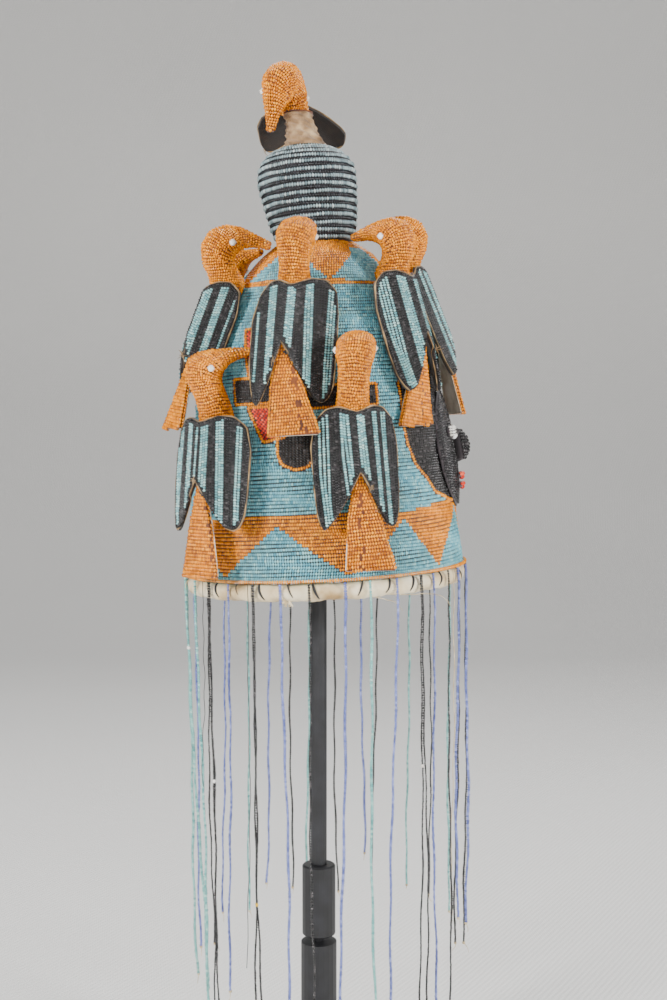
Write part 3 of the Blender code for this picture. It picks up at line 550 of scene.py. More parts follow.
def motif_grid(motif):
    """Turns, distances along the side and row directions of a motif's own rows."""
    corners = np.array(motif.corners)
    middle = np.radians(corners[:, 0].mean())
    foot = BELL.along_of(corners[:, 1].mean() * MM)
    girth = BELL.at(foot)[1]
    reach = 1.6 * max(np.ptp(np.radians(corners[:, 0])) * girth, np.ptp(corners[:, 1]) * MM) / 2
    across = np.arange(-reach, reach, BEAD_WIDTH)
    down = np.arange(-reach, reach, BEAD_LENGTH)
    row, step = (part.ravel() for part in np.meshgrid(across, down, indexing="ij"))
    angle = math.radians(motif.row_turn)
    east = step * math.cos(angle) - row * math.sin(angle)
    north = step * math.sin(angle) + row * math.cos(angle)
    return middle + east / girth, foot + north, angle


def outline_beads(corners):
    """Turns and distances along the side of the beads of one string round a motif."""
    turns, sides = [], []
    for (x1, y1), (x2, y2) in zip(corners, corners[1:] + corners[:1]):
        a = (math.radians(x1), BELL.along_of(y1 * MM))
        b = (math.radians(x2), BELL.along_of(y2 * MM))
        girth = BELL.at((a[1] + b[1]) / 2)[1]
        count = max(int(math.hypot((b[0] - a[0]) * girth, b[1] - a[1]) / BEAD_LENGTH), 1)
        part = (np.arange(count) + 0.5) / count
        turns.append(a[0] + (b[0] - a[0]) * part)
        sides.append(a[1] + (b[1] - a[1]) * part)
    return np.concatenate(turns), np.concatenate(sides)


def near_any(spots, others, reach):
    """Whether each spot lies within reach of any of the others."""
    if not len(others):
        return np.zeros(len(spots), bool)
    close = np.zeros(len(spots), bool)
    for start in range(0, len(spots), 2000):
        gaps = np.linalg.norm(spots[start : start + 2000, None] - others[None], axis=2)
        close[start : start + 2000] = gaps.min(1) < reach
    return close


def on_bell(turn, along, lift=0.0):
    return BELL.place(turn, along, unevenness(turn, along) + lift - BEAD_SEAT)


def sewn_direction(turn, along, angle):
    """Way that a thread runs on the bell, at an angle up from level."""
    ahead = 1 * MM
    girth = np.maximum(BELL.at(along)[1], 1 * MM)
    end = on_bell(turn + ahead * np.cos(angle) / girth, along + ahead * np.sin(angle))[0]
    return unit(end - on_bell(turn, along)[0])


outline_spots, outline_lays = [], []
for motif in MOTIFS:
    if motif.outlined:
        turn, side = outline_beads(list(motif.corners))
        spots, out = on_bell(turn, side, 0.5 * MM)
        ways = unit(np.roll(spots, -1, 0) - np.roll(spots, 1, 0))
        outline_spots.append(spots)
        outline_lays.append((spots, ways, out))
outline_spots = np.concatenate(outline_spots)

BLUE_UPPER_FOOT = 118 * MM
blue_upper = Piece()
bell_beads = {SKY_BEADS: Piece(), ORANGE_BEADS: Piece(), BLACK_BEADS: Piece(), RED_BEADS: Piece()}
bell_beads[WHITE_BEADS] = bell_beads[RED_BEADS]


def sew_on_bell(turn, along, finish, angle, form=FLAT_BEAD):
    spots, out = on_bell(turn, along)
    clear = ~near_any(spots, outline_spots, 0.62 * BEAD_WIDTH)
    ways = sewn_direction(turn, along, angle)
    upper = finish == SKY_BEADS and along.size and along.min() > BLUE_UPPER_FOOT
    lay_beads(
        blue_upper if upper else bell_beads[finish], to_room(spots[clear]), ways[clear] @ CROWN_TURN.T,
        out[clear] @ CROWN_TURN.T, finish, form=form,
    )


knob_foot = points_of("finial")
UNDER_KNOB = np.ptp(knob_foot[knob_foot[:, 2] < knob_foot[:, 2].min() + 3 * MM, 0]) / 2 - 3 * MM
for row, foot in enumerate(np.arange(BEAD_WIDTH / 2, BELL.length, BEAD_WIDTH)):
    if BELL.at(foot)[1] < UNDER_KNOB:
        break
    count = max(int(2 * math.pi * BELL.at(foot)[1] / BEAD_LENGTH), 6)
    turn = 2 * math.pi * (np.arange(count) + chance.random()) / count - math.pi
    along = foot + 0.35 * MM * np.sin(3 * turn + row * 0.7) + 0.2 * MM * np.sin(11 * turn + row)
    height = BELL.at(along)[0]
    shown = top_motif(turn, height)
    ground = ground_finish(turn, height)
    for index, finish in enumerate((SKY_BEADS, ORANGE_BEADS)):
        here = (shown < 0) & (ground == index)
        sew_on_bell(turn[here], along[here], finish, 0.0)

for index, motif in enumerate(MOTIFS):
    turn, along, angle = motif_grid(motif)
    here = top_motif(turn, BELL.at(along)[0]) == index
    sew_on_bell(turn[here], along[here], motif.finish, angle)

for spots, ways, out in outline_lays:
    lay_beads(
        bell_beads[ORANGE_BEADS], to_room(spots), ways @ CROWN_TURN.T, out @ CROWN_TURN.T, ORANGE_BEADS, form=FLAT_BEAD
    )

sewn_on = [
    bell_beads[SKY_BEADS].make("bell_beads_blue_lower", "sky_blue_beads"),
    blue_upper.make("bell_beads_blue_upper", "sky_blue_beads"),
    bell_beads[ORANGE_BEADS].make("bell_beads_orange", "orange_beads"),
    bell_beads[BLACK_BEADS].make("bell_beads_black", "black_beads"),
    bell_beads[RED_BEADS].make("bell_beads_red", "red_beads"),
]
shell.area() / 2


# The padded rim: a cotton roll, stuffed and whipped, a little lumpy, with the
# cloth's turned edge pleated round it. Black marks cross it by the strings: partly black thread, partly painted shadows
# of the strings.
ROLL_COTTON = cotton("off_white_plain_cotton", ("#A88652", "#E4CFA4", "#F6EACE"), 0.8 * MM, 26 * MM)
roll_local = to_crown(points_of("rim_roll"))
ROLL_GIRTH = (roll_local[:, 2].max() - roll_local[:, 2].min()) / 2
ROLL_RADIUS = np.hypot(roll_local[:, 0], roll_local[:, 1]).max() - ROLL_GIRTH


def on_roll(turn, round_roll, out=0.0):
    """Points on the lumpy roll: 0 outward, a quarter turn up, and so on."""
    lumps = 0.4 * MM * np.sin(17 * turn + 2 * round_roll) + 0.3 * MM * np.sin(41 * turn + round_roll)
    pleats = 0.4 * MM * np.abs(np.sin(49 * turn + 3 * np.sin(5 * turn) + 1.5 * round_roll))
    girth = ROLL_GIRTH - 0.7 * MM + lumps + pleats + out
    reach = ROLL_RADIUS + girth * np.cos(round_roll)
    return np.stack(
        [reach * np.sin(turn), -reach * np.cos(turn), ROLL_GIRTH + girth * np.sin(round_roll)], -1
    )


roll = Piece()
ROLL_STEPS, ROLL_SIDES = 400, 18
turn_grid, girth_grid = np.meshgrid(
    2 * math.pi * np.arange(ROLL_STEPS) / ROLL_STEPS, -2 * math.pi * np.arange(ROLL_SIDES) / ROLL_SIDES, indexing="ij"
)
roll_skin = to_room(on_roll(turn_grid, girth_grid).reshape(-1, 3))
roll.add(roll_skin, grid_faces(ROLL_STEPS, ROLL_SIDES, wrap_rows=True), ROLL_COTTON)
roll.make("rim_roll_cotton", "cream_cotton", "rim_roll")


# The raised face: black beads sewn over low pads of the frame's shapes, with white
# rings for the eyes and red rows for the lips. It is a calm, plain face.
def welded(node):
    """Corners, triangles and outward directions of a node's skin, in the crown's axes."""
    bm = bmesh.new()
    bm.from_mesh(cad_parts[node].data)
    bmesh.ops.remove_doubles(bm, verts=bm.verts, dist=0.01 * MM)
    bmesh.ops.triangulate(bm, faces=bm.faces)
    return skin_of(bm)


def skin_of(bm):
    bm.normal_update()
    points = to_crown(np.array([v.co for v in bm.verts]))
    normals = np.array([v.normal for v in bm.verts]) @ CROWN_TURN
    triangles = np.array([[v.index for v in f.verts] for f in bm.faces])
    bm.free()
    return points, triangles, normals


def softened(node, grain, rounds):
    """The node's skin with its corners rounded, as stuffed cloth has them."""
    source = bpy.data.objects.new("soft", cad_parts[node].data.copy())
    bpy.context.scene.collection.objects.link(source)
    remesh = source.modifiers.new("even", "REMESH")
    remesh.mode = "VOXEL"
    remesh.voxel_size = grain
    relax = source.modifiers.new("relax", "SMOOTH")
    relax.iterations = rounds
    graph = bpy.context.evaluated_depsgraph_get()
    bm = bmesh.new()
    bm.from_mesh(source.evaluated_get(graph).to_mesh())
    bmesh.ops.triangulate(bm, faces=bm.faces)
    bm.verts.ensure_lookup_table()
    bm.verts.index_update()
    skin = skin_of(bm)
    bpy.data.objects.remove(source)
    return skin


def steepness_of(skin, values):
    """How fast the values change along the skin, at each corner."""
    points, triangles, _ = skin
    a, b, c = (points[triangles[:, k]] for k in range(3))
    across = np.cross(b - a, c - a)
    area = np.linalg.norm(across, axis=1) + 1e-15
    normal = across / area[:, None]
    slope = sum(
        values[triangles[:, k]][:, None] * np.cross(normal, edge)
        for k, edge in enumerate((c - b, a - c, b - a))
    )
    steepness = np.linalg.norm(slope, axis=1) / area
    total, weight = np.zeros(len(points)), np.zeros(len(points))
    for k in range(3):
        np.add.at(total, triangles[:, k], steepness * area)
        np.add.at(weight, triangles[:, k], area)
    return total / np.maximum(weight, 1e-15)


def rows_at(skin, values, level, carried):
    """Lines on a skin where the values pass a level: places and what they carry."""
    points, triangles, _ = skin
    above = values > level
    mixed = above[triangles].any(1) & ~above[triangles].all(1)
    links = defaultdict(list)
    for triangle in triangles[mixed]:
        cut = [
            (min(i, j), max(i, j))
            for i, j in zip(triangle, np.roll(triangle, -1))
            if above[i] != above[j]
        ]
        links[cut[0]].append(cut[1])
        links[cut[1]].append(cut[0])
    lines = []
    while links:
        here = next((edge for edge, near in links.items() if len(near) == 1), None)
        here = here or next(iter(links))
        chain = [here]
        while links.get(here):
            after = links[here].pop()
            links[after].remove(here)
            if not links[here]:
                del links[here]
            here = after
            chain.append(here)
        links.pop(here, None)
        ends = np.array(chain)
        low, high = values[ends[:, 0]], values[ends[:, 1]]
        part = ((level - low) / (high - low))[:, None]
        lines.append(
            (
                points[ends[:, 0]] * (1 - part) + points[ends[:, 1]] * part,
                carried[ends[:, 0]] * (1 - part) + carried[ends[:, 1]] * part,
            )
        )
    return lines


def strung(line, length):
    """Even places along a line: spots, thread directions and what they carry."""
    points, carried = line
    steps = np.concatenate([[0], np.cumsum(np.linalg.norm(np.diff(points, axis=0), axis=1))])
    count = int(steps[-1] / length)
    if count < 1:
        return np.zeros((0, 3)), np.zeros((0, 3)), np.zeros((0, carried.shape[1]))
    at = (np.arange(count) + 0.5) * steps[-1] / count

    def along(values, place):
        return np.stack([np.interp(place, steps, column) for column in values.T], 1)

    way = along(points, at + 0.4 * length) - along(points, at - 0.4 * length)
    return along(points, at), unit(way), along(carried, at)


def row_levels(skin, values, steepness, pitch):
    """Levels whose lines on the skin lie about a pitch apart where they fan out."""
    _, triangles, _ = skin
    low, high = values[triangles].min(1), values[triangles].max(1)
    steep = steepness[triangles].mean(1)
    level, levels = values.min(), []
    top = values.max()
    while level < top:
        here = (low <= level + 1e-9) & (high >= level)
        gentle = np.percentile(steep[here], 12) if here.any() else 1 / pitch
        level += pitch * max(gentle, 1e-3 * (top - values.min()) / pitch)
        levels.append(level)
    return [level - 1e-7 for level in levels if level < top]


CROWDED = 0.6


def bead_rows(piece, skin, values, levels, finish, keep=None, width=BEAD_WIDTH, form=FLAT_BEAD):
    """Sews a row of beads along each level. Where rows crowd, every other one stops."""
    steepness = steepness_of(skin, values)
    carried = np.column_stack([skin[2], steepness])
    steps = np.gradient(levels) if len(levels) > 1 else [None]
    for index, (level, step) in enumerate(zip(levels, steps)):
        for line in rows_at(skin, values, level, carried):
            spots, ways, found = strung(line, BEAD_LENGTH)
            outward = unit(found[:, :3])
            girth = np.full(len(spots), width)
            stay = np.ones(len(spots), bool) if keep is None else keep(spots)
            if step is not None:
                pitch = step / np.maximum(found[:, 3], 1e-9) / width
                stay &= (pitch > CROWDED) | (index % 2 == 0)
                stay &= (pitch > CROWDED / 2) | (index % 4 == 0)
                stay &= (pitch > CROWDED / 4) | (index % 8 == 0)
                for _ in range(3):
                    pitch = np.where(pitch < CROWDED, 2 * pitch, pitch)
                girth = width * np.clip(pitch, 0.85, 1.22)
            lay_beads(
                piece, to_room(spots[stay]), ways[stay] @ CROWN_TURN.T, outward[stay] @ CROWN_TURN.T, finish,
                width=girth[stay], form=form,
            )


def even_levels(values, pitch, start=0.5):
    return np.arange(values.min() + start * pitch, values.max(), pitch)


def facing_out(skin):
    """The part of a skin that looks away from the bell."""
    points, triangles, normals = skin
    looks = (unit(points * (1, 1, 0)) * normals).sum(1)
    return points, triangles[(looks[triangles] > 0.05).all(1)], normals


FACE_CLOTH = cotton("dark_dyed_cotton", ("#1E181A", "#2A2226", "#3A3034"), 0.9 * MM, 20 * MM)
FACE_PARTS = {
    "face_pad": ("upright", BLACK_BEADS, "black_beads"),
    "face_nose": ("level", BLACK_BEADS, "black_beads"),
    "face_eye_left": ("rings", WHITE_BEADS, "white_beads"),
    "face_eye_right": ("rings", WHITE_BEADS, "white_beads"),
    "face_lip_upper": ("level", RED_BEADS, "red_beads"),
    "face_lip_lower": ("level", RED_BEADS, "red_beads"),
}
for node, (run, finish, slot_name) in FACE_PARTS.items():
    points, triangles, normals = skin = welded(node)
    middle = points.mean(0)
    turn = np.arctan2(points[:, 0], -points[:, 1])
    girth = np.hypot(*middle[:2])
    if run == "upright":
        values = turn * girth
    elif run == "level":
        values = points[:, 2]
    else:
        values = np.linalg.norm(points - middle - unit(middle * (1, 1, 0)) * 3 * MM, axis=1)
    piece = Piece()
    piece.add(to_room(points - normals * 0.5 * MM), triangles, FACE_CLOTH)
    bead_rows(piece, facing_out(skin), values, even_levels(values, BEAD_WIDTH), finish)
    if run == "rings":
        pupil = middle + unit(middle * (1, 1, 0)) * 4.2 * MM
        out = unit(middle * (1, 1, 0))[None]
        side = np.cross([0, 0, 1.0], out)
        lay_beads(piece, to_room(pupil[None]), side @ CROWN_TURN.T, out @ CROWN_TURN.T, BLACK_BEADS, 5.5 * MM, 4.5 * MM)
    made = piece.make(node + "_beaded", slot_name, node)


# The knob: stuffed cloth wound with a coil of thread, pale rows standing proud and
# dark ones sunk between them.
PALE_BEADS = seed_beads("pale_grey_blue_glass_beads", ("#65797E", "#84989C", "#98ABAD", "#BCCACA"), 0.3, 0.35)
SLATE_BEADS = seed_beads("slate_black_glass_beads", ("#070709", "#101115", "#1A1B20", "#2C2E34"), 0.28, 0.2)
KNOB = Outline("finial", 3.5 * MM)
KNOB_ROW = 2.95 * MM
KNOB_BEAD = 2.15 * MM
PALE_ROW_BEAD, DARK_ROW_BEAD = 3.1 * MM, 3.2 * MM
KNOB_TILT = math.tan(math.radians(1.9))
knob = Piece()
level_grid, turn_grid = np.meshgrid(np.linspace(0, KNOB.length, 40), 2 * math.pi * np.arange(64) / 64, indexing="ij")
knob_skin = KNOB.place(turn_grid, level_grid, np.full(turn_grid.shape, -0.8 * MM))[0].reshape(-1, 3)
knob.add(to_room(knob_skin), grid_faces(40, 64), FACE_CLOTH)
for end in (0, 39):
    rim = knob_skin[end * 64 : end * 64 + 64]
    fan = np.stack([np.arange(64), (np.arange(64) + 1) % 64, np.full(64, 64)], 1)
    knob.add(to_room(np.concatenate([rim, rim.mean(0)[None]])), fan[:, :: 1 if end else -1], FACE_CLOTH)
for row, foot in enumerate(np.arange(KNOB_ROW / 2, KNOB.length, KNOB_ROW)):
    proud = row % 2 == 0
    girth = KNOB.at(foot)[1]
    count = max(int(2 * math.pi * girth / KNOB_BEAD), 6)
    turn = 2 * math.pi * (np.arange(count) + chance.random()) / count
    sway = 0.3 * MM * np.sin(2 * turn + row) + 0.2 * MM * np.sin(9 * turn + 4 * row)
    along = np.clip(foot + girth * np.sin(turn) * KNOB_TILT + sway, 0, KNOB.length)
    spots, out = KNOB.place(turn, along, np.full(count, 0.15 * MM if proud else -0.75 * MM))
    side = np.stack([np.cos(turn), np.sin(turn), 0 * turn], -1)
    finish = PALE_BEADS if proud else SLATE_BEADS
    lay_beads(
        knob, to_room(spots), side @ CROWN_TURN.T, out @ CROWN_TURN.T, finish,
        width=PALE_ROW_BEAD if proud else DARK_ROW_BEAD, length=KNOB_BEAD, form=FLAT_BEAD,
    )
knob.make("knob_beaded", "pale_striped_beads", "finial")


# The bare stalk under the top bird: a wad of brown cotton wound round a peg, its
# folds twisted and its edges frayed.
STALK_COTTON = cotton("worn_brown_cotton", ("#6E5234", "#9A7A55", "#BFA27A"), 0.9 * MM, 9 * MM)
stalk_points = to_crown(points_of("bird_top_stalk"))
STALK_FOOT, STALK_TOP = stalk_points[:, 2].min(), stalk_points[:, 2].max()
foot_ring = stalk_points[stalk_points[:, 2] < STALK_FOOT + 1 * MM]
top_ring = stalk_points[stalk_points[:, 2] > STALK_TOP - 1 * MM]
stalk = Piece()
share_grid, turn_grid = np.meshgrid(np.linspace(0, 1, 44), 2 * math.pi * np.arange(72) / 72, indexing="ij")
foot_girth, top_girth = (np.ptp(ring[:, 0]) / 2 for ring in (foot_ring, top_ring))
girth = foot_girth + (top_girth - foot_girth) * share_grid
girth = girth - 1.6 * MM * np.sin(math.pi * share_grid)
girth += 1.7 * MM * np.abs(np.sin(3 * turn_grid + 6 * share_grid)) * (1 - 0.5 * share_grid)
girth -= 1.2 * MM * np.abs(np.sin(5.5 * share_grid * math.pi + 1.5 * np.sin(turn_grid) + turn_grid))
girth += 0.4 * MM * np.sin(9 * turn_grid + 22 * share_grid)
middle = foot_ring.mean(0) + (top_ring.mean(0) - foot_ring.mean(0)) * share_grid[..., None]
stalk_skin = middle + np.stack([girth * np.sin(turn_grid), -girth * np.cos(turn_grid), 0 * girth], -1)
stalk.add(to_room(stalk_skin.reshape(-1, 3)), grid_faces(44, 72), STALK_COTTON)
for end in (0, 43):
    rim = stalk_skin[end]
    fan = np.stack([np.arange(72), (np.arange(72) + 1) % 72, np.full(72, 72)], 1)
    stalk.add(to_room(np.concatenate([rim, rim.mean(0)[None]])), fan[:, :: 1 if end else -1], STALK_COTTON)
stalk.make("top_stalk_cotton", "brown_cotton", "bird_top_stalk")


# The birds. Each has a padded head and breast in orange rows that run round the
# neck and fan over the head, white bead eyes, and stiff wings and a stiff tail.
# The stripes are counted in rows from the spine outward: black, pale, black, ...
Bird = namedtuple("Bird", "name faces beak left_stripes right_stripes eye_ahead eye_down", defaults=(0.4, 14))
BIRDS = (
    Bird("bird_upper_left", -77, 0, (0, 2, 3, 2, 3, 2, 2), (0, 2, 3, 3, 3, 4, 3)),
    Bird("bird_upper_front", -4, 0, (1, 3, 3, 2, 2, 1), (3, 3, 4, 3, 5)),
    Bird("bird_upper_right", 60, 0, (0, 3, 4, 4, 4, 4, 1), (1, 2, 3, 2, 3, 2)),
    Bird("bird_upper_far_right", 106, 0, (0, 3, 3, 3, 2, 2), (1, 3, 3, 2, 3)),
    Bird("bird_upper_back", 173, 0, (2, 3, 3, 2, 3), (2, 2, 3, 3, 3)),
    Bird("bird_upper_far_left", -128, 0, (3, 2, 2, 3, 3), (2, 3, 2, 3, 2)),
    Bird("bird_lower_left", -44, -46, (0, 1, 2, 3, 4), (1, 3, 3, 3, 4, 2, 2)),
    Bird("bird_lower_front", 10, 0, (0, 3, 3, 3, 4, 3, 1), (3, 2, 2, 2, 3)),
    Bird("bird_lower_back_right", 137, 20, (2, 2, 3, 3, 3), (2, 3, 3, 2, 3)),
    Bird("bird_lower_back_left", -160, -24, (3, 3, 2, 2, 3), (2, 3, 2, 3, 3)),
    Bird("bird_top", 178, 0, (2, 3, 2, 3, 3), (2, 3, 2, 3, 3), None, 23),
)
TURQUOISE_BEADS = seed_beads("pale_turquoise_glass_beads", ("#5A9297", "#7DB2B4", "#94C4C2", "#BADAD4"), 0.2, 0.25)
WING_CLOTH = cotton("brown_stiffened_cotton", ("#120C08", "#20160F", "#34261A"), 0.9 * MM, 12 * MM)
TAN_CORD = cotton("tan_cotton_cord", ("#5E4828", "#94764A", "#BFA072"), 0.8 * MM, 9 * MM)
HEAD_DEPTH = 40 * MM
EYE_WIDTH = 6.0 * MM
WING_CORD = 0.5 * MM
STRIPE_ROW = 2.55 * MM
HEAD_ROW = 2.45 * MM


def flow(points, triangles, start, end):
    """Values from 0 at the start corners to 1 at the end corners, evened out between."""
    count = len(points)
    a = np.concatenate([triangles[:, 0], triangles[:, 1], triangles[:, 2]])
    b = np.concatenate([triangles[:, 1], triangles[:, 2], triangles[:, 0]])
    fixed = np.zeros(count, bool)
    fixed[start] = fixed[end] = True
    values = np.full(count, 0.5)
    values[start], values[end] = 0.0, 1.0

    def unbalance(guess):
        """How far each free corner lies from the mean of its neighbours, summed."""
        steps = guess[a] - guess[b]
        total = np.bincount(a, steps, count) - np.bincount(b, steps, count)
        return np.where(fixed, 0, total)

    rest = -unbalance(values)
    way, size = rest.copy(), rest @ rest
    for _ in range(900):
        pushed = unbalance(way)
        step = size / (way @ pushed)
        values = values + step * way
        rest = rest - step * pushed
        old, size = size, rest @ rest
        if size < 1e-16 * count:
            break
        way = rest + size / old * way
    return values


def build_head(bird):
    node = bird.name + "_body"
    points, triangles, normals = skin = softened(node, 1.6 * MM, 12)
    wings_top = to_crown(points_of(bird.name + "_wings"))[:, 2].max()
    inward = math.radians(bird.faces + bird.beak)
    ahead = np.array([-math.sin(inward), math.cos(inward), 0.0])
    side = np.array([math.cos(inward), math.sin(inward), 0.0])
    top = points[:, 2].max()
    in_head = points[:, 2] > top - HEAD_DEPTH
    reach = np.where(in_head, points @ ahead, -1)
    far = points[reach.argmax()]
    foot = points[:, 2] < points[:, 2].min() + 3 * MM
    if bird.name == "bird_top":
        from_stalk = points[:, :2] - top_ring.mean(0)[:2]
        in_front = from_stalk @ ahead[:2] > 9 * MM
        far = points[np.where(in_front, -points[:, 2], -9).argmax()]
        foot = (points[:, 2] < STALK_TOP + 2.5 * MM) & (np.linalg.norm(from_stalk, axis=1) < 12 * MM)
    tip = np.linalg.norm(points - far, axis=1) < 4 * MM
    values = flow(points, triangles, np.flatnonzero(tip), np.flatnonzero(foot & ~tip))
    piece = Piece()
    core, core_triangles, core_normals = welded(node)
    # Core under the head's beads, dark orange-brown as orange thread and painted shade between the beads.
    piece.add(to_room(core - core_normals * 0.9 * MM), core_triangles, ORANGE_SHADED_COTTON)
    lowest = wings_top - (50 if bird.name == "bird_top" else 18) * MM
    levels = row_levels(skin, values, steepness_of(skin, values), HEAD_ROW)
    bead_rows(piece, skin, values, levels, ORANGE_BEADS, lambda spots: spots[:, 2] > lowest, HEAD_ROW)
    head = points[points[:, 2] > top - 26 * MM]
    nape, end = (head @ ahead).min(), (head @ ahead).max()
    below = points[:, 2] - top + bird.eye_down * MM
    for hand in (-1, 1):
        if bird.eye_ahead:
            off = np.hypot(points @ ahead - nape - bird.eye_ahead * (end - nape), below)
            near = np.where((normals @ side) * hand > 0.4, off, 1)
        else:
            near = np.where(np.abs(below) < 1.5 * MM, -hand * (points @ side), 1)
        spot = points[near.argmin()]
        out = unit(normals[near.argmin()] + side * hand)[None]
        lay_beads(
            piece, to_room(spot[None] + out * 0.6 * MM), np.array([[0, 0, 1.0]]) @ CROWN_TURN.T,
            out @ CROWN_TURN.T, WHITE_BEADS, EYE_WIDTH, EYE_WIDTH * 0.9, form=EYE_BEAD,
        )
    drop = -ahead if bird.eye_ahead else np.array([0.0, 0.0, 1.0])
    lay_beads(
        piece, to_room(far[None] + drop * 1.2 * MM), side[None] @ CROWN_TURN.T, -drop[None] @ CROWN_TURN.T,
        ORANGE_BEADS, 4.2 * MM, 3.6 * MM, form=EYE_BEAD,
    )
    piece.make(bird.name + "_head", "orange_beads", node)


EYE_BEAD = barrel(12, whole=True)
# Dark orange-brown ground under the orange beads: partly orange thread, partly painted shade in the gaps between the
# beads.
ORANGE_SHADED_COTTON = cotton("orange_cotton_with_painted_shade", ("#4A2206", "#6E3608", "#8E4C10"), 0.9 * MM, 15 * MM)
for bird in BIRDS:
    build_head(bird)


# The wings: two lobes of stiffened cloth, beaded on the outside in upright stripes,
# with a black row inside the edge, a tan cord whipped round it, and a brown back.
def parted(skin, outward, least=0.3):
    """A skin split in two: its outer face, with that face's directions, and the rest."""
    points, triangles, _ = skin
    a, b, c = (points[triangles[:, k]] for k in range(3))
    weights = np.cross(b - a, c - a)
    shown = unit(weights) @ outward > least
    normals = np.zeros_like(points)
    for k in range(3):
        np.add.at(normals, triangles[shown, k], weights[shown])
    return (points, triangles[shown], unit(normals)), triangles[~shown]


def edge_loop(triangles):
    """Corners round the longest open edge of a skin, in order."""
    ends = np.concatenate([triangles[:, [0, 1]], triangles[:, [1, 2]], triangles[:, [2, 0]]])
    used = {tuple(end) for end in ends}
    after = defaultdict(list)
    for i, j in used:
        if (j, i) not in used:
            after[i].append(j)
    loops = []
    while any(after.values()):
        here = next(i for i, following in after.items() if following)
        loop = []
        while after[here]:
            loop.append(here)
            here = after[here].pop()
        loops.append(loop)
    return np.array(max(loops, key=len))


def rounded_loop(points, normals, step, rounds):
    """A closed line with even steps and softened corners, and its directions."""
    closed = np.concatenate([points, points[:1]])
    facing = np.concatenate([normals, normals[:1]])
    steps = np.concatenate([[0], np.cumsum(np.linalg.norm(np.diff(closed, axis=0), axis=1))])
    at = np.arange(0, steps[-1] - step / 2, step)
    line = np.stack([np.interp(at, steps, closed[:, k]) for k in range(3)], 1)
    outward = np.stack([np.interp(at, steps, facing[:, k]) for k in range(3)], 1)
    for _ in range(rounds):
        line = (np.roll(line, 1, 0) + 2 * line + np.roll(line, -1, 0)) / 4
        outward = (np.roll(outward, 1, 0) + 2 * outward + np.roll(outward, -1, 0)) / 4
    return line, unit(outward)


def tube(path, girth, sides=6, closed=False):
    """Corners and faces of a round cord along a path, its ends left open."""
    path = np.asarray(path, float)
    ahead = np.roll(path, -1, 0) - np.roll(path, 1, 0)
    if not closed:
        ahead[0], ahead[-1] = path[1] - path[0], path[-1] - path[-2]
    ahead = unit(ahead)
    side = unit(np.cross(ahead, [0.31, 0.42, 0.85]))
    for k in range(1, len(path)):
        turned = side[k - 1] - ahead[k] * (side[k - 1] @ ahead[k])
        side[k] = turned / np.linalg.norm(turned)
    other = np.cross(ahead, side)
    angles = 2 * math.pi * np.arange(sides) / sides
    girths = np.broadcast_to(np.asarray(girth, float), (len(path),))[:, None, None]
    ring = side[:, None] * np.cos(angles)[None, :, None] + other[:, None] * np.sin(angles)[None, :, None]
    points = path[:, None] + ring * girths
    return points.reshape(-1, 3), grid_faces(len(path), sides, wrap_rows=closed)[:, ::-1]


def in_pale_stripe(rows, stripes):
    """Whether places, counted in rows from the spine, fall in a pale stripe."""
    return np.searchsorted(np.cumsum(stripes), rows, side="right") % 2 == 1


SPINE_SHARE = 0.5


def drawn_in(values, heights, loop):
    """Distances from the spine, with rows that lean in where the lobe's edge does."""
    ends = np.append(loop, loop[0])
    places = np.linspace(0, len(loop), 30 * len(loop))
    edge, level_of = (np.interp(places, np.arange(len(ends)), part[ends]) for part in (values, heights))
    levels = np.linspace(level_of.min(), level_of.max(), 40)
    moved = values.copy()
    for hand in (-1, 1):
        reach = [(edge * hand)[np.abs(level_of - level) < 3 * MM].max() for level in levels]
        widest = max(reach)
        share = np.clip(values * hand / widest, 0, 1)
        pull = 1 - np.clip(np.interp(heights, levels, reach) / widest, 0.3, 1)
        moved = np.where(values * hand > 0, values * (1 + share * pull), moved)
    return moved


def across_from_spine(skin, outward, right, flat, bend):
    """Distance along the cloth from the swaying spine, to the right, at each corner."""
    points = skin[0]
    high = flat[:, 1] > flat[:, 1].max() - 9 * MM
    notch = flat[np.where(high, 9, bend).argmin()]
    top = flat[np.where(high, bend, 9).argmin()]
    fall = top[1] - notch[1]
    level = notch[1] + 6 * MM
    lines = rows_at(skin, points[:, 2], level, points)
    cut = np.concatenate([line[0] for line in lines])
    order = (cut @ right).argsort()
    across, depth = (cut @ right)[order], (cut @ outward)[order]
    steps = np.concatenate([[0], np.cumsum(np.hypot(np.diff(across), np.diff(depth)))])
    centre = top[0] + (notch[0] - top[0]) * (top[1] - level) / fall
    steps -= np.interp(centre, across, steps)
    across = across - centre
    down = 1 - SPINE_SHARE * np.clip((points[:, 2] - notch[1]) / fall, 0, 1)
    off = points @ right - top[0] - (notch[0] - top[0]) * down
    values = np.interp(off, across, steps)
    beyond = np.minimum(off - across[0], 0) + np.maximum(off - across[-1], 0)
    return values + 1.2 * beyond, notch


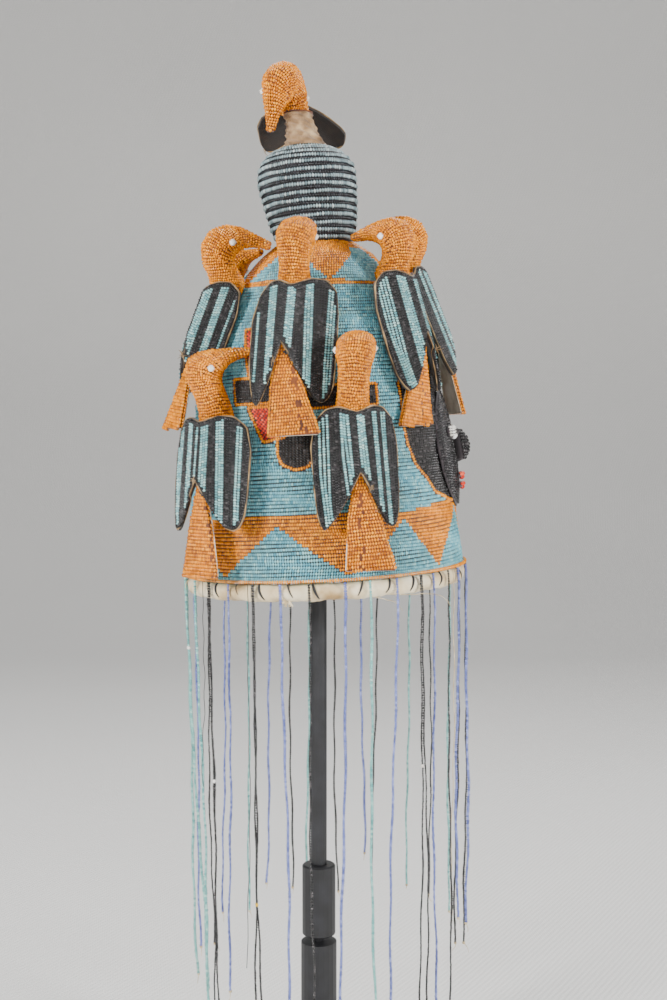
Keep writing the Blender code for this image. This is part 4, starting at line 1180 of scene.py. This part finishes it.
def build_wings(bird):
    node = bird.name + "_wings"
    face = math.radians(bird.faces)
    outward = np.array([math.sin(face), -math.cos(face), 0.0])
    right = np.array([math.cos(face), math.sin(face), 0.0])
    whole = welded(node)
    skin, rest = parted(whole, outward)
    points, triangles, normals = skin
    loop = edge_loop(triangles)
    flat = np.stack([points[loop] @ right, points[loop][:, 2]], 1)
    before, after = flat - np.roll(flat, 1, 0), np.roll(flat, -1, 0) - flat
    bend = before[:, 0] * after[:, 1] - before[:, 1] * after[:, 0]
    bend /= np.linalg.norm(before, axis=1) * np.linalg.norm(after, axis=1)
    bend *= np.sign((flat[:, 0] * (np.roll(flat, -1, 0) - np.roll(flat, 1, 0))[:, 1]).sum())
    values, notch = across_from_spine(skin, outward, right, flat, bend)

    cloth, piece = Piece(), Piece()
    # The outer face under the beads takes the black ground, which is partly painted shade between the beads.
    cloth.add(to_room(points), triangles, BLACK_GROUND)
    cloth.add(to_room(points), rest, WING_CLOTH)
    line, facing = rounded_loop(points[loop], normals[loop], 1.8 * MM, 2)
    worn = chance.uniform(0, 6, 2)
    girth = WING_CORD * (1 + 0.45 * np.sin(np.arange(len(line)) / 7 + worn[0]) * np.sin(np.arange(len(line)) / 2.3 + worn[1]))
    piece.add(*tube(to_room(line - facing * 0.3 * MM), girth, 5, closed=True), TAN_CORD)
    inner = unit(np.cross(facing, unit(np.roll(line, -1, 0) - np.roll(line, 1, 0))))
    border, above = rounded_loop(line + inner * 1.9 * MM, facing, BEAD_LENGTH, 1)
    clear = ~near_any(border, line, 1.5 * MM)
    border, above = border[clear], above[clear]
    way = unit(np.roll(border, -1, 0) - np.roll(border, 1, 0))
    lay_beads(
        piece, to_room(border), way @ CROWN_TURN.T, above @ CROWN_TURN.T, BLACK_BEADS,
        width=STRIPE_ROW, form=FLAT_BEAD,
    )
    phase = chance.uniform(0, 6, 3)
    cloth_size = np.ptp(values[loop]), np.ptp(flat[:, 1])
    values = drawn_in(values, points[:, 2], loop)
    height = points[:, 2] / MM
    sway = np.sin(height / 11 + 20 * values + phase[0]) + 0.5 * np.sin(height / 5.3 + values * 70 + phase[1])
    values = values + 1.1 * MM * sway
    for count in range(-24, 24):
        stripes = bird.right_stripes if count >= 0 else bird.left_stripes
        row = count if count >= 0 else -1 - count

        def pale(spots):
            drift = 0.45 * np.sin(spots[:, 2] / MM / 9 + phase[2] + 1.3 * row)
            return in_pale_stripe(row + 0.5 + drift * np.abs(drift), stripes)

        def clear_of_edge(spots):
            return ~near_any(spots, line, 3.0 * MM)

        for finish, kind in ((TURQUOISE_BEADS, 1), (BLACK_BEADS, 0)):
            bead_rows(
                piece, skin, values, [(count + 0.5) * STRIPE_ROW], finish,
                lambda spots: clear_of_edge(spots) & (pale(spots) == kind), STRIPE_ROW,
            )
    knot = points[loop][np.linalg.norm(flat - notch, axis=1).argmin()] + outward * 1 * MM
    for _ in range(8):
        way = outward * 0.6 + chance.normal(0, 0.7, 3)
        end = knot + unit(way) * chance.uniform(2, 6) * MM
        path = [knot, (knot + end) / 2 + chance.normal(0, 0.8 * MM, 3), end]
        piece.add(*tube(to_room(np.array(path)), np.array([0.4, 0.3, 0.1]) * MM, 4), TAN_CORD)
    beads = piece.make(bird.name + "_striped_wings", "striped_wing_beads")
    hung = cloth.make(bird.name + "_wing_cloth", "brown_cotton", node, closed=True)
    min(cloth.area() / 2, cloth_size[0] * cloth_size[1])


# Black ground under the wing beads: dark cloth and thread, darkened further as painted shade between the beads.
BLACK_GROUND = cotton("black_cloth_with_painted_shade", ("#060505", "#0C0A0A", "#161212"), 0.9 * MM, 12 * MM)
for bird in BIRDS:
    build_wings(bird)


# The tails: a flared strip of white cloth under each pair of wings, covered on its
# outer face with level rows of orange beads, its edges left pale.
TAIL_CLOTH = cotton("white_plain_cotton", ("#A8977A", "#DCD2BE", "#EEE8DA"), 0.8 * MM, 18 * MM)
TAIL_ROW = 2.6 * MM


def build_tail(bird):
    node = bird.name + "_tail"
    face = math.radians(bird.faces)
    outward = np.array([math.sin(face), -math.cos(face), 0.0])
    skin, rest = parted(welded(node), outward, -0.3)
    points, triangles, normals = skin
    used = points[np.unique(triangles)]
    root = used[used[:, 2] > used[:, 2].max() - 2 * MM].mean(0)
    end = used[used[:, 2] < used[:, 2].min() + 6 * MM].mean(0)
    apex = root - unit((end - root)[None])[0] * 34 * MM
    values = np.linalg.norm(points - apex, axis=1)
    values = values + 0.4 * MM * np.sin(points[:, 0] / MM / 3 + points[:, 1] / MM / 4)
    cloth, piece = Piece(), Piece()
    # Outer face under the beads: dark orange-brown, partly orange thread, partly painted shade between the rows; the
    # cloth itself is white.
    cloth.add(to_room(points), triangles, ORANGE_SHADED_COTTON)
    cloth.add(to_room(points), rest, TAIL_CLOTH)
    levels = np.arange(values[np.unique(triangles)].min() + 1.2 * MM, values.max() - 0.6 * MM, TAIL_ROW)
    right = np.array([math.cos(face), math.sin(face), 0.0])
    down = unit((end - root)[None])[0]
    bare = chance.uniform(-0.3, 0.3)

    def whole(spots):
        """Leaves out some beads of a worn streak that runs down the tail."""
        below = (spots - root) @ down
        off = (spots - root) @ right - (end - root) @ right * below / np.linalg.norm(end - root)
        worn = (np.abs(off - bare * below) < 2.2 * MM) & (below > 22 * MM)
        return ~(worn & (chance.random(len(spots)) < 0.3))

    bead_rows(piece, skin, values, levels, ORANGE_BEADS, whole, TAIL_ROW, form=SEWN_BEAD)
    loop = edge_loop(triangles)
    line, facing = rounded_loop(points[loop], normals[loop], 1.8 * MM, 1)
    piece.add(*tube(to_room(line), 0.5 * MM, 5, closed=True), TAIL_CLOTH)
    beads = piece.make(bird.name + "_beaded_tail", "orange_beads")
    hung = cloth.make(bird.name + "_tail_cloth", "cream_cotton", node, closed=True)
    cloth_size = np.ptp(points[loop] @ right), np.linalg.norm(np.ptp(points[loop] @ np.column_stack([down]), axis=0))
    min(cloth.area() / 2, cloth_size[0] * cloth_size[1])


for bird in BIRDS:
    build_tail(bird)


# The veil: strings of seed beads tied to an orange edging above the rim. Each lies
# over the roll and hangs free, ends in a knot, and sways a little. A round angle, a
# length and a sway as shares of the veil's, and a colour for each string.
VEIL_LENGTH = 340 * MM
STRING_WIDTH = 2.7 * MM
STRING_BEAD = 1.9 * MM
BLACK_STRING_SHARE = 0.8
PERIWINKLE_BEADS = seed_beads("periwinkle_glass_beads", ("#4A5596", "#6672B4", "#7480C2", "#98A2D8"), 0.22, 0.2)
AQUA_BEADS = seed_beads("aqua_glass_beads", ("#4E9290", "#74B4AE", "#86C4BC", "#AEDAD0"), 0.25, 0.3)
YELLOW_BEADS = seed_beads("yellow_glass_beads", ("#C89A1C", "#E0B428", "#EFC84A", "#F8DC80"), 0.28, 0.3)
P, K, T = PERIWINKLE_BEADS, BLACK_BEADS, AQUA_BEADS
String = namedtuple("String", "round length sway finish odd odd_finish", defaults=(0.0, None))
STRINGS = (
    String(-80, 0.93, 0.045, T, 0.17, WHITE_BEADS),
    String(-63, 0.96, 0.030, T),
    String(-51, 0.97, 0.012, K, 0.44, WHITE_BEADS),
    String(-52, 0.93, 0.022, K),
    String(-40, 0.86, 0.003, P),
    String(-28, 0.99, 0.006, K, 0.68, YELLOW_BEADS),
    String(-28.6, 0.92, 0.014, K),
    String(-17, 0.91, 0.022, P),
    String(-6, 0.89, 0.006, K),
    String(7.5, 1.00, -0.010, P),
    String(17, 0.99, 0.008, T),
    String(28, 0.98, -0.020, P),
    String(39, 0.96, 0.004, K, 0.42, WHITE_BEADS),
    String(39.6, 0.91, 0.016, K),
    String(46, 0.93, 0.004, P),
    String(56, 0.95, 0.006, K),
    String(65, 0.76, -0.004, P),
    String(78, 0.80, 0.006, P),
    String(94, 0.88, 0.004, K),
    String(104, 0.90, -0.006, K),
    String(114, 0.84, -0.004, T),
    String(129, 0.82, 0.006, K),
    String(141, 0.81, -0.002, T),
    String(157, 0.80, -0.012, K),
    String(165, 0.74, 0.010, P),
    String(177, 0.84, 0.006, K),
    String(-172, 0.88, -0.006, T),
    String(-163, 0.82, 0.004, K),
    String(-154, 0.80, -0.012, P),
    String(-142, 0.86, 0.006, T),
    String(-129, 0.84, -0.004, P),
    String(-117, 0.90, 0.010, K),
    String(-105, 0.88, 0.012, P),
    String(-92, 0.92, 0.020, T),
)
THREAD = cotton("linen_sewing_thread", ("#A58C66", "#CDB890", "#E6D8BC"), 0.6 * MM, 8 * MM)
# Black thread, also used for the marks on the roll that are partly painted shadows of the strings.
BLACK_THREAD_AND_SHADOW = cotton("black_thread_and_painted_shadow", ("#0E0B0C", "#191416", "#2A2224"), 0.6 * MM, 8 * MM, 0.5)
EDGING_GIRTH = 1.35 * MM
EDGING_RADIUS = 111.65 * MM
EDGING_HEIGHT = 15.6 * MM

veil = Piece()
count = int(2 * math.pi * EDGING_RADIUS / BEAD_LENGTH)
turn = 2 * math.pi * np.arange(count) / count
ring = np.stack([np.sin(turn), -np.cos(turn), 0 * turn], -1)
along = np.stack([np.cos(turn), np.sin(turn), 0 * turn], -1)
lay_beads(
    veil, to_room(ring * EDGING_RADIUS + (0, 0, EDGING_HEIGHT)), along @ CROWN_TURN.T, ring @ CROWN_TURN.T,
    ORANGE_BEADS, width=2 * EDGING_GIRTH, form=FLAT_BEAD,
)
edge, edge_faces = tube(to_room(ring[::4] * EDGING_RADIUS + (0, 0, EDGING_HEIGHT)), 0.7 * MM, 5, closed=True)
veil.add(edge, edge_faces, THREAD)


def string_path(string):
    """Points of a string, from its knot on the edging over the roll and down."""
    turn = math.radians(string.round)
    out = np.array([math.sin(turn), -math.cos(turn), 0.0])
    over = ROLL_RADIUS + ROLL_GIRTH + STRING_WIDTH / 2 + 0.5 * MM
    bends = [(EDGING_RADIUS + 1 * MM, EDGING_HEIGHT - 1.5 * MM), (over - 0.2 * MM, 11 * MM), (over, 6 * MM), (over, -1.4 * MM)]
    path = [to_room(out * reach + (0, 0, height)) for reach, height in bends]
    start = path[-1]
    length = string.length * VEIL_LENGTH
    phase = chance.uniform(0, 6, 4)
    for share in np.linspace(0, 1, 26)[1:]:
        drift = 1.6 * MM * share * np.array([math.sin(7 * share + phase[0]), math.sin(6 * share + phase[1]), 0])
        drift += 0.5 * MM * np.array([math.sin(31 * share + phase[2]), math.sin(27 * share + phase[3]), 0])
        path.append(start + (string.sway * VEIL_LENGTH * share, 0, -length * share) + drift)
    return np.array(path)


def thread_end(piece, start, way, length, finish=THREAD, girth=0.35 * MM):
    """A short loose thread that curls a little under its own weight."""
    path = [start]
    for _ in range(8):
        way = unit((way + chance.normal(0, 0.25, 3) + (0, 0, -0.12))[None])[0]
        path.append(path[-1] + way * length / 8)
    piece.add(*tube(np.array(path), np.linspace(girth, 0.5 * girth, 9), 4), finish)


for string in STRINGS:
    path = string_path(string)
    spots, ways, _ = strung((path, path), STRING_BEAD)
    out = np.tile([math.sin(math.radians(string.round)), -math.cos(math.radians(string.round)), 0.02], (len(spots), 1))
    odd = np.zeros(len(spots), bool)
    if string.odd_finish:
        odd[int(string.odd * len(spots))] = True
        lay_beads(veil, spots[odd], ways[odd], out[odd], string.odd_finish, 3.4 * MM, 3.0 * MM, form=HUNG_BEAD)
    girth = STRING_WIDTH * (1 + 0.1 * np.sin(np.arange((~odd).sum()) / 9.0 + string.round))
    girth *= BLACK_STRING_SHARE if string.finish == BLACK_BEADS else 1.0
    lay_beads(veil, spots[~odd], ways[~odd], out[~odd], string.finish, girth, STRING_BEAD, form=HUNG_BEAD)
    lay_beads(veil, path[-1:] - (0, 0, 0.4 * MM), np.array([[0.3, 0.2, 1.0]]), np.array([[1.0, 0, 0]]), THREAD, 2.6 * MM, 2.6 * MM, form=HUNG_BEAD)
    thread_end(veil, path[-1], np.array([0.2, 0.1, -1.0]), chance.uniform(5, 12) * MM)

# Black marks over the roll, each with its own lean and weight: partly black thread, partly painted shadows of the
# strings on the roll, all drawn as black thread.
THREAD_AND_SHADOW_MARKS = ((-50, 1, 1.3), (-38.5, 1, 0.6), (-27, 1, 1.5), (-15, 1, 1.0), (-5, 1, 1.6), (15, -1, 1.2), (26.5, -1, 1.2), (37.5, -1, 1.3),
        (54, -1, 1.2), (70, 1, 1.0), (100, 1, 1.2), (125, 1, 1.4), (155, 1, 1.2), (-170, 1, 1.3), (-140, 1, 1.0), (-112, 1, 1.3), (-86, 1, 1.2))
for degrees, lean, heavy in THREAD_AND_SHADOW_MARKS:
    share = np.linspace(0, 1, 12)
    slant = math.radians(degrees) + lean * 0.045 * share ** 1.5
    path = on_roll(slant, math.radians(85) - share * math.radians(70 + 40 * heavy), 0.1 * MM)
    veil.add(*tube(to_room(path), 0.75 * heavy * MM * (0.25 + 0.75 * np.sin(math.pi * (0.1 + 0.85 * share))), 6), BLACK_THREAD_AND_SHADOW)

thread_end(veil, to_room(on_roll(np.array(-1.36), np.array(1.2))), np.array([-1.0, 0, 0.25]), 13 * MM, girth=0.45 * MM)
thread_end(veil, to_room(on_roll(np.array(0.55), np.array(-1.2))), np.array([1.0, -0.1, 0.1]), 42 * MM)
for _ in range(7):
    knot = to_room(on_roll(np.array(-0.262 + chance.normal(0, 0.012)), np.array(-1.1)))
    thread_end(veil, knot, np.array([chance.normal(0, 0.6), -0.5, -0.8]), 5 * MM, ROLL_COTTON, 0.9 * MM)
for degrees, length, finish in ((60, 0.74, THREAD), (-30.5, 0.8, BLACK_THREAD_AND_SHADOW), (-56, 0.42, BLACK_THREAD_AND_SHADOW)):
    path = string_path(String(degrees, length, 0.0, finish))
    veil.add(*tube(path, 0.35 * MM, 4), finish)
thread_end(veil, to_room(on_roll(np.array(0.35), np.array(-1.3))), np.array([1.0, 0.1, -0.1]), 26 * MM)
veil.make("bead_veil", "periwinkle_beads", "fringe")


# The room: a pale paper sweep that curves up behind the crown, two broad soft
# lamps at the sides, a weaker one in front, and the camera where the photo's was.
PAPER = cotton("pale_background_paper", ("#EEECE8", "#F1EFEB", "#F4F2EE"), 3 * MM, 900 * MM)
SWEEP_HALF_WIDTH, SWEEP_FRONT, SWEEP_BACK, SWEEP_CURVE, SWEEP_TOP = 5.0, -4.0, 2.2, 1.2, 5.0
side = [(SWEEP_FRONT, 0.0)]
for k in range(13):
    angle = math.radians(90 * k / 12)
    side.append((SWEEP_BACK + SWEEP_CURVE * math.sin(angle), SWEEP_CURVE * (1 - math.cos(angle))))
side.append((SWEEP_BACK + SWEEP_CURVE, SWEEP_TOP))
corners = [(x, y, z) for y, z in side for x in (-SWEEP_HALF_WIDTH, SWEEP_HALF_WIDTH)]
sweep_mesh = bpy.data.meshes.new("paper_sweep")
sweep_mesh.from_pydata(corners, [], [(2 * k, 2 * k + 1, 2 * k + 3, 2 * k + 2) for k in range(len(side) - 1)])
sweep_mesh.shade_smooth()
sweep_mesh.materials.append(PAPER)
sweep = bpy.data.objects.new("paper_sweep", sweep_mesh)
bpy.context.scene.collection.objects.link(sweep)

Lamp = namedtuple("Lamp", "name place size power")
AIM = Vector((0.0, 0.0, 0.58))
LAMPS = (
    Lamp("left_softbox", (-1.5, -1.35, 1.1), 0.5, 58),
    Lamp("right_softbox", (1.6, -1.1, 1.0), 0.5, 47),
    Lamp("front_fill", (0.2, -2.4, 0.75), 1.2, 18),
    Lamp("top_back_light", (0.2, 1.0, 2.0), 1.0, 22),
)
for lamp in LAMPS:
    light = bpy.data.lights.new(lamp.name, "AREA")
    light.size = lamp.size
    light.energy = lamp.power
    made = bpy.data.objects.new(lamp.name, light)
    made.location = lamp.place
    made.rotation_euler = (AIM - Vector(lamp.place)).to_track_quat("-Z", "Y").to_euler()
    bpy.context.scene.collection.objects.link(made)

world = bpy.data.worlds.new("soft_room")
world.use_nodes = True
world.node_tree.nodes["Background"].inputs["Color"].default_value = linear("#E8EAEE")
world.node_tree.nodes["Background"].inputs["Strength"].default_value = 0.3
bpy.context.scene.world = world

CAMERA_PLACE = (11.9 * MM, -1146 * MM, 550.1 * MM)
CAMERA_TILT = 3.08
FOCAL_SHARE = 1.432
camera = bpy.data.cameras.new("camera")
camera.lens = FOCAL_SHARE * camera.sensor_width
viewer = bpy.data.objects.new("camera", camera)
viewer.location = CAMERA_PLACE
viewer.rotation_euler = (math.radians(90 - CAMERA_TILT), 0, 0)
bpy.context.scene.collection.objects.link(viewer)
bpy.context.scene.camera = viewer
